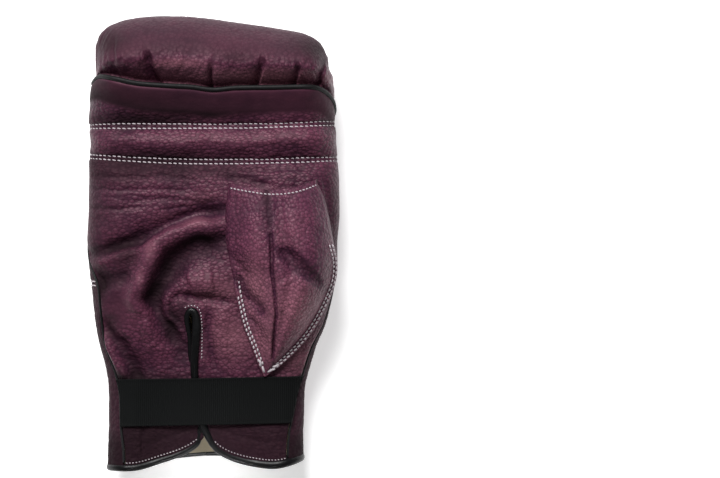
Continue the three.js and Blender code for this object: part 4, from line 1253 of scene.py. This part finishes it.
def stitch_row(line, up, pitch, width, fill=0.84, slant=0.14):
    """Stitches along a line: short rounded bars, a little slanted, that dip into the leather at their ends."""
    even, up = resample(line, pitch, up)
    parts, faces, base = [], [], 0
    sides, rings = 6, 5
    for a, b, n in zip(even[:-1], even[1:], up[:-1]):
        middle, half = (a + b) / 2, (b - a) / 2 * fill
        length = np.linalg.norm(half)
        if length < 1e-6:
            continue
        side = np.cross(half, n)
        side /= np.linalg.norm(side)
        half = half + side * length * slant
        ahead = half / np.linalg.norm(half)
        for k in range(rings):
            s = -1 + 2 * k / (rings - 1)
            fat = width / 2 * (1 - 0.35 * abs(s) ** 3)
            spot = middle + half * s - n * (abs(s) ** 4) * width * 0.4
            angle = np.arange(sides) * 2 * math.pi / sides
            parts.append(spot + side * np.cos(angle)[:, None] * fat + n * np.sin(angle)[:, None] * fat * 0.8)
        for k in range(rings - 1):
            for j in range(sides):
                i = base + k * sides
                faces.append([i + j, i + (j + 1) % sides, i + sides + (j + 1) % sides, i + sides + j])
        faces.append([base + j for j in range(sides)][::-1])
        faces.append([base + (rings - 1) * sides + j for j in range(sides)])
        base += rings * sides
    return np.concatenate(parts), faces


def palm_line(turn, along, lift=0.0):
    relief = palm_relief(turn, along)
    return palm_skin(turn, along, relief + lift), skin_normal(OUTER, turn, along)


class GLOVE_OT_stitching(bpy.types.Operator):
    """Sew the stitches: double rows over the palm, round the thumb, along the binding and across the back"""

    bl_idname = "glove.stitching"
    bl_label = "Stitching"

    def execute(self, context):
        sizes = context.scene.glove_sizes
        width, pitch = sizes.thread_width * 1000, sizes.stitch * 1000
        rows = []
        u = np.linspace(0.004, 0.996, 400)
        for seam in CROSS_SEAMS:
            for side in SEAM_ROWS:
                along = np.full(len(u), seam[1])
                for _ in range(3):
                    left, right = between_seams(along, 1.5)
                    turn = mix(left, right, u)
                    x = body_point(OUTER, turn, along)[..., 0]
                    along = cross_seam_along(seam, x / WIDTH) + side / LENGTH
                rows.append((*palm_line(turn, along, 0.1), pitch, width * 0.92))
        for share, inset, low, high, gap, thick, fill in THUMB_STITCHES:
            v = np.linspace(low, high, 300)
            along = mix(THUMB[0][0], THUMB[-1][0], v)
            left, right = thumb_sides(along)
            turn = left + turn_of(inset, left, along) if share == 0 else right - turn_of(inset, right, along)
            u_at = (turn - left) / (right - left)
            crossed = (u_at > 0.02) & (u_at < 0.98) & (np.abs(u_at - share) < 0.46)
            points, _ = thumb_top(u_at[crossed], v[crossed])
            normal = skin_normal(OUTER, turn[crossed], along[crossed])
            rows.append((points + normal * 0.45, normal, pitch * gap, width * thick, fill))
        u = np.linspace(0.02, 0.98, 200)
        points, _ = thumb_top(u, np.full(len(u), 0.975))
        up = np.tile([0.0, 0.0, 1.0], (len(u), 1))
        rows.append((points + up * 0.15, up, pitch * 0.8, width * 0.9, 0.7))
        for low, high in ((-0.6, -0.05), (0.06, 0.62)):
            turn = np.linspace(low, high, 160)
            along = follow(FLAP_EDGE, 1, across_of(turn)) + 4.7 / LENGTH
            rows.append((*palm_line(turn, along, 0.0), pitch * 0.64, width * 0.6, 0.6))
        rows_at = resample(np.array(SLIT_STITCHES) * (WIDTH, LENGTH), 0.6) / (WIDTH, LENGTH)
        across, along = soften(rows_at, 6).T
        turn = turn_at(across * WIDTH, along)
        rows.append((*palm_line(turn, along, 0.05), pitch * 0.64, width * 0.62, 0.6))
        turn = np.concatenate([np.linspace(1.08, 2, 120), np.linspace(-2, -0.82, 140)])
        along = np.full(len(turn), BACK_SEAM)
        for row in BACK_ROWS:
            place = off_skin(turn, along + row / LENGTH, -0.35)
            rows.append((place, skin_normal(OUTER, turn, along), pitch, width))
        parts, faces, base = [], [], 0
        for row in rows:
            points, sewn = stitch_row(*row)
            parts.append(points)
            faces += [[i + base for i in face] for face in sewn]
            base += len(points)
        build("stitching", np.concatenate(parts), faces, None,
              thread_finish("pale_thread", sizes.thread))
        return {"FINISHED"}


class GLOVE_OT_stage(bpy.types.Operator):
    """Set up the floor, the soft light and the camera that looks straight down"""

    bl_idname = "glove.stage"
    bl_label = "Stage"

    def execute(self, context):
        scene = context.scene
        bpy.ops.mesh.primitive_plane_add(size=6, location=(0, 0, -0.0006))
        floor = context.active_object
        floor.name = "floor"
        look = Finish("pale_floor")
        speckle = look.noise(look.place(), 4.0, 3.0)
        look.set(Base_Color=look.colour_mix(speckle * 0.2, (0.93, 0.93, 0.93, 1), (0.88, 0.88, 0.88, 1)),
                 Roughness=0.85, Specular_IOR_Level=0.2, Emission_Color=(1, 1, 1, 1), Emission_Strength=0.5)
        floor.data.materials.append(look.material)
        world = bpy.data.worlds.new("studio")
        scene.world = world
        world.use_nodes = True
        world.node_tree.nodes["Background"].inputs["Color"].default_value = (1, 1, 1, 1)
        world.node_tree.nodes["Background"].inputs["Strength"].default_value = 0.18
        scene.view_settings.view_transform = "Standard"
        for name, spot, size, power in (
            ("far_window", (-0.35, 1.2, 1.5), (0.9, 0.7), 57.0),
            ("overhead", (0.6, 0.2, 2.3), (1.4, 1.4), 2.5),
        ):
            light = bpy.data.lights.new(name, "AREA")
            light.shape, light.size, light.size_y = "RECTANGLE", size[0], size[1]
            light.energy = power
            hang(light, spot, (0.05, 0.0, 0.02))
        beam = bpy.data.lights.new("cuff_light", "SPOT")
        beam.energy, beam.spot_size, beam.spot_blend, beam.shadow_soft_size = 2.2, 0.3, 0.6, 0.02
        hang(beam, (-0.006, -0.34, 0.2), (-0.006, -0.117, 0.006))
        camera = bpy.data.cameras.new("camera")
        view = bpy.data.objects.new("camera", camera)
        # how far off the glove's top the camera hangs, and how wide a strip it sees there, in metres
        distance, width = 2.6, 0.4097
        camera.sensor_width = 36.0
        camera.lens = 36.0 * distance / width
        view.location = (0.0839, 0.0031, 0.03 + distance)
        scene.collection.objects.link(view)
        scene.camera = view
        return {"FINISHED"}


def hang(light, spot, target):
    """Hang a light at a spot and turn it to its target."""
    lamp = bpy.data.objects.new(light.name, light)
    lamp.location = spot
    lamp.rotation_euler = (Vector(target) - Vector(spot)).to_track_quat("-Z", "Y").to_euler()
    bpy.context.scene.collection.objects.link(lamp)


class GLOVE_PT_panel(bpy.types.Panel):
    """Sizes, colours and pieces of the glove"""

    bl_idname = "GLOVE_PT_panel"
    bl_label = "Bag glove"
    bl_space_type = "VIEW_3D"
    bl_region_type = "UI"
    bl_category = "Glove"

    def draw(self, context):
        for name in GloveSizes.__annotations__:
            self.layout.prop(context.scene.glove_sizes, name)
        for maker in MAKERS:
            self.layout.operator(maker.bl_idname)


MAKERS = (GLOVE_OT_stage, GLOVE_OT_back, GLOVE_OT_palm, GLOVE_OT_thumb, GLOVE_OT_elastic, GLOVE_OT_trim,
          GLOVE_OT_lining, GLOVE_OT_stitching)


def register():
    for cls in (GloveSizes, *MAKERS, GLOVE_PT_panel):
        bpy.utils.register_class(cls)
    bpy.types.Scene.glove_sizes = bpy.props.PointerProperty(type=GloveSizes)


def unregister():
    del bpy.types.Scene.glove_sizes
    for cls in reversed((GloveSizes, *MAKERS, GLOVE_PT_panel)):
        bpy.utils.unregister_class(cls)


def main():
    register()
    for maker in MAKERS:
        group, name = maker.bl_idname.split(".")
        getattr(getattr(bpy.ops, group), name)()


if __name__ == "__main__":
    main()
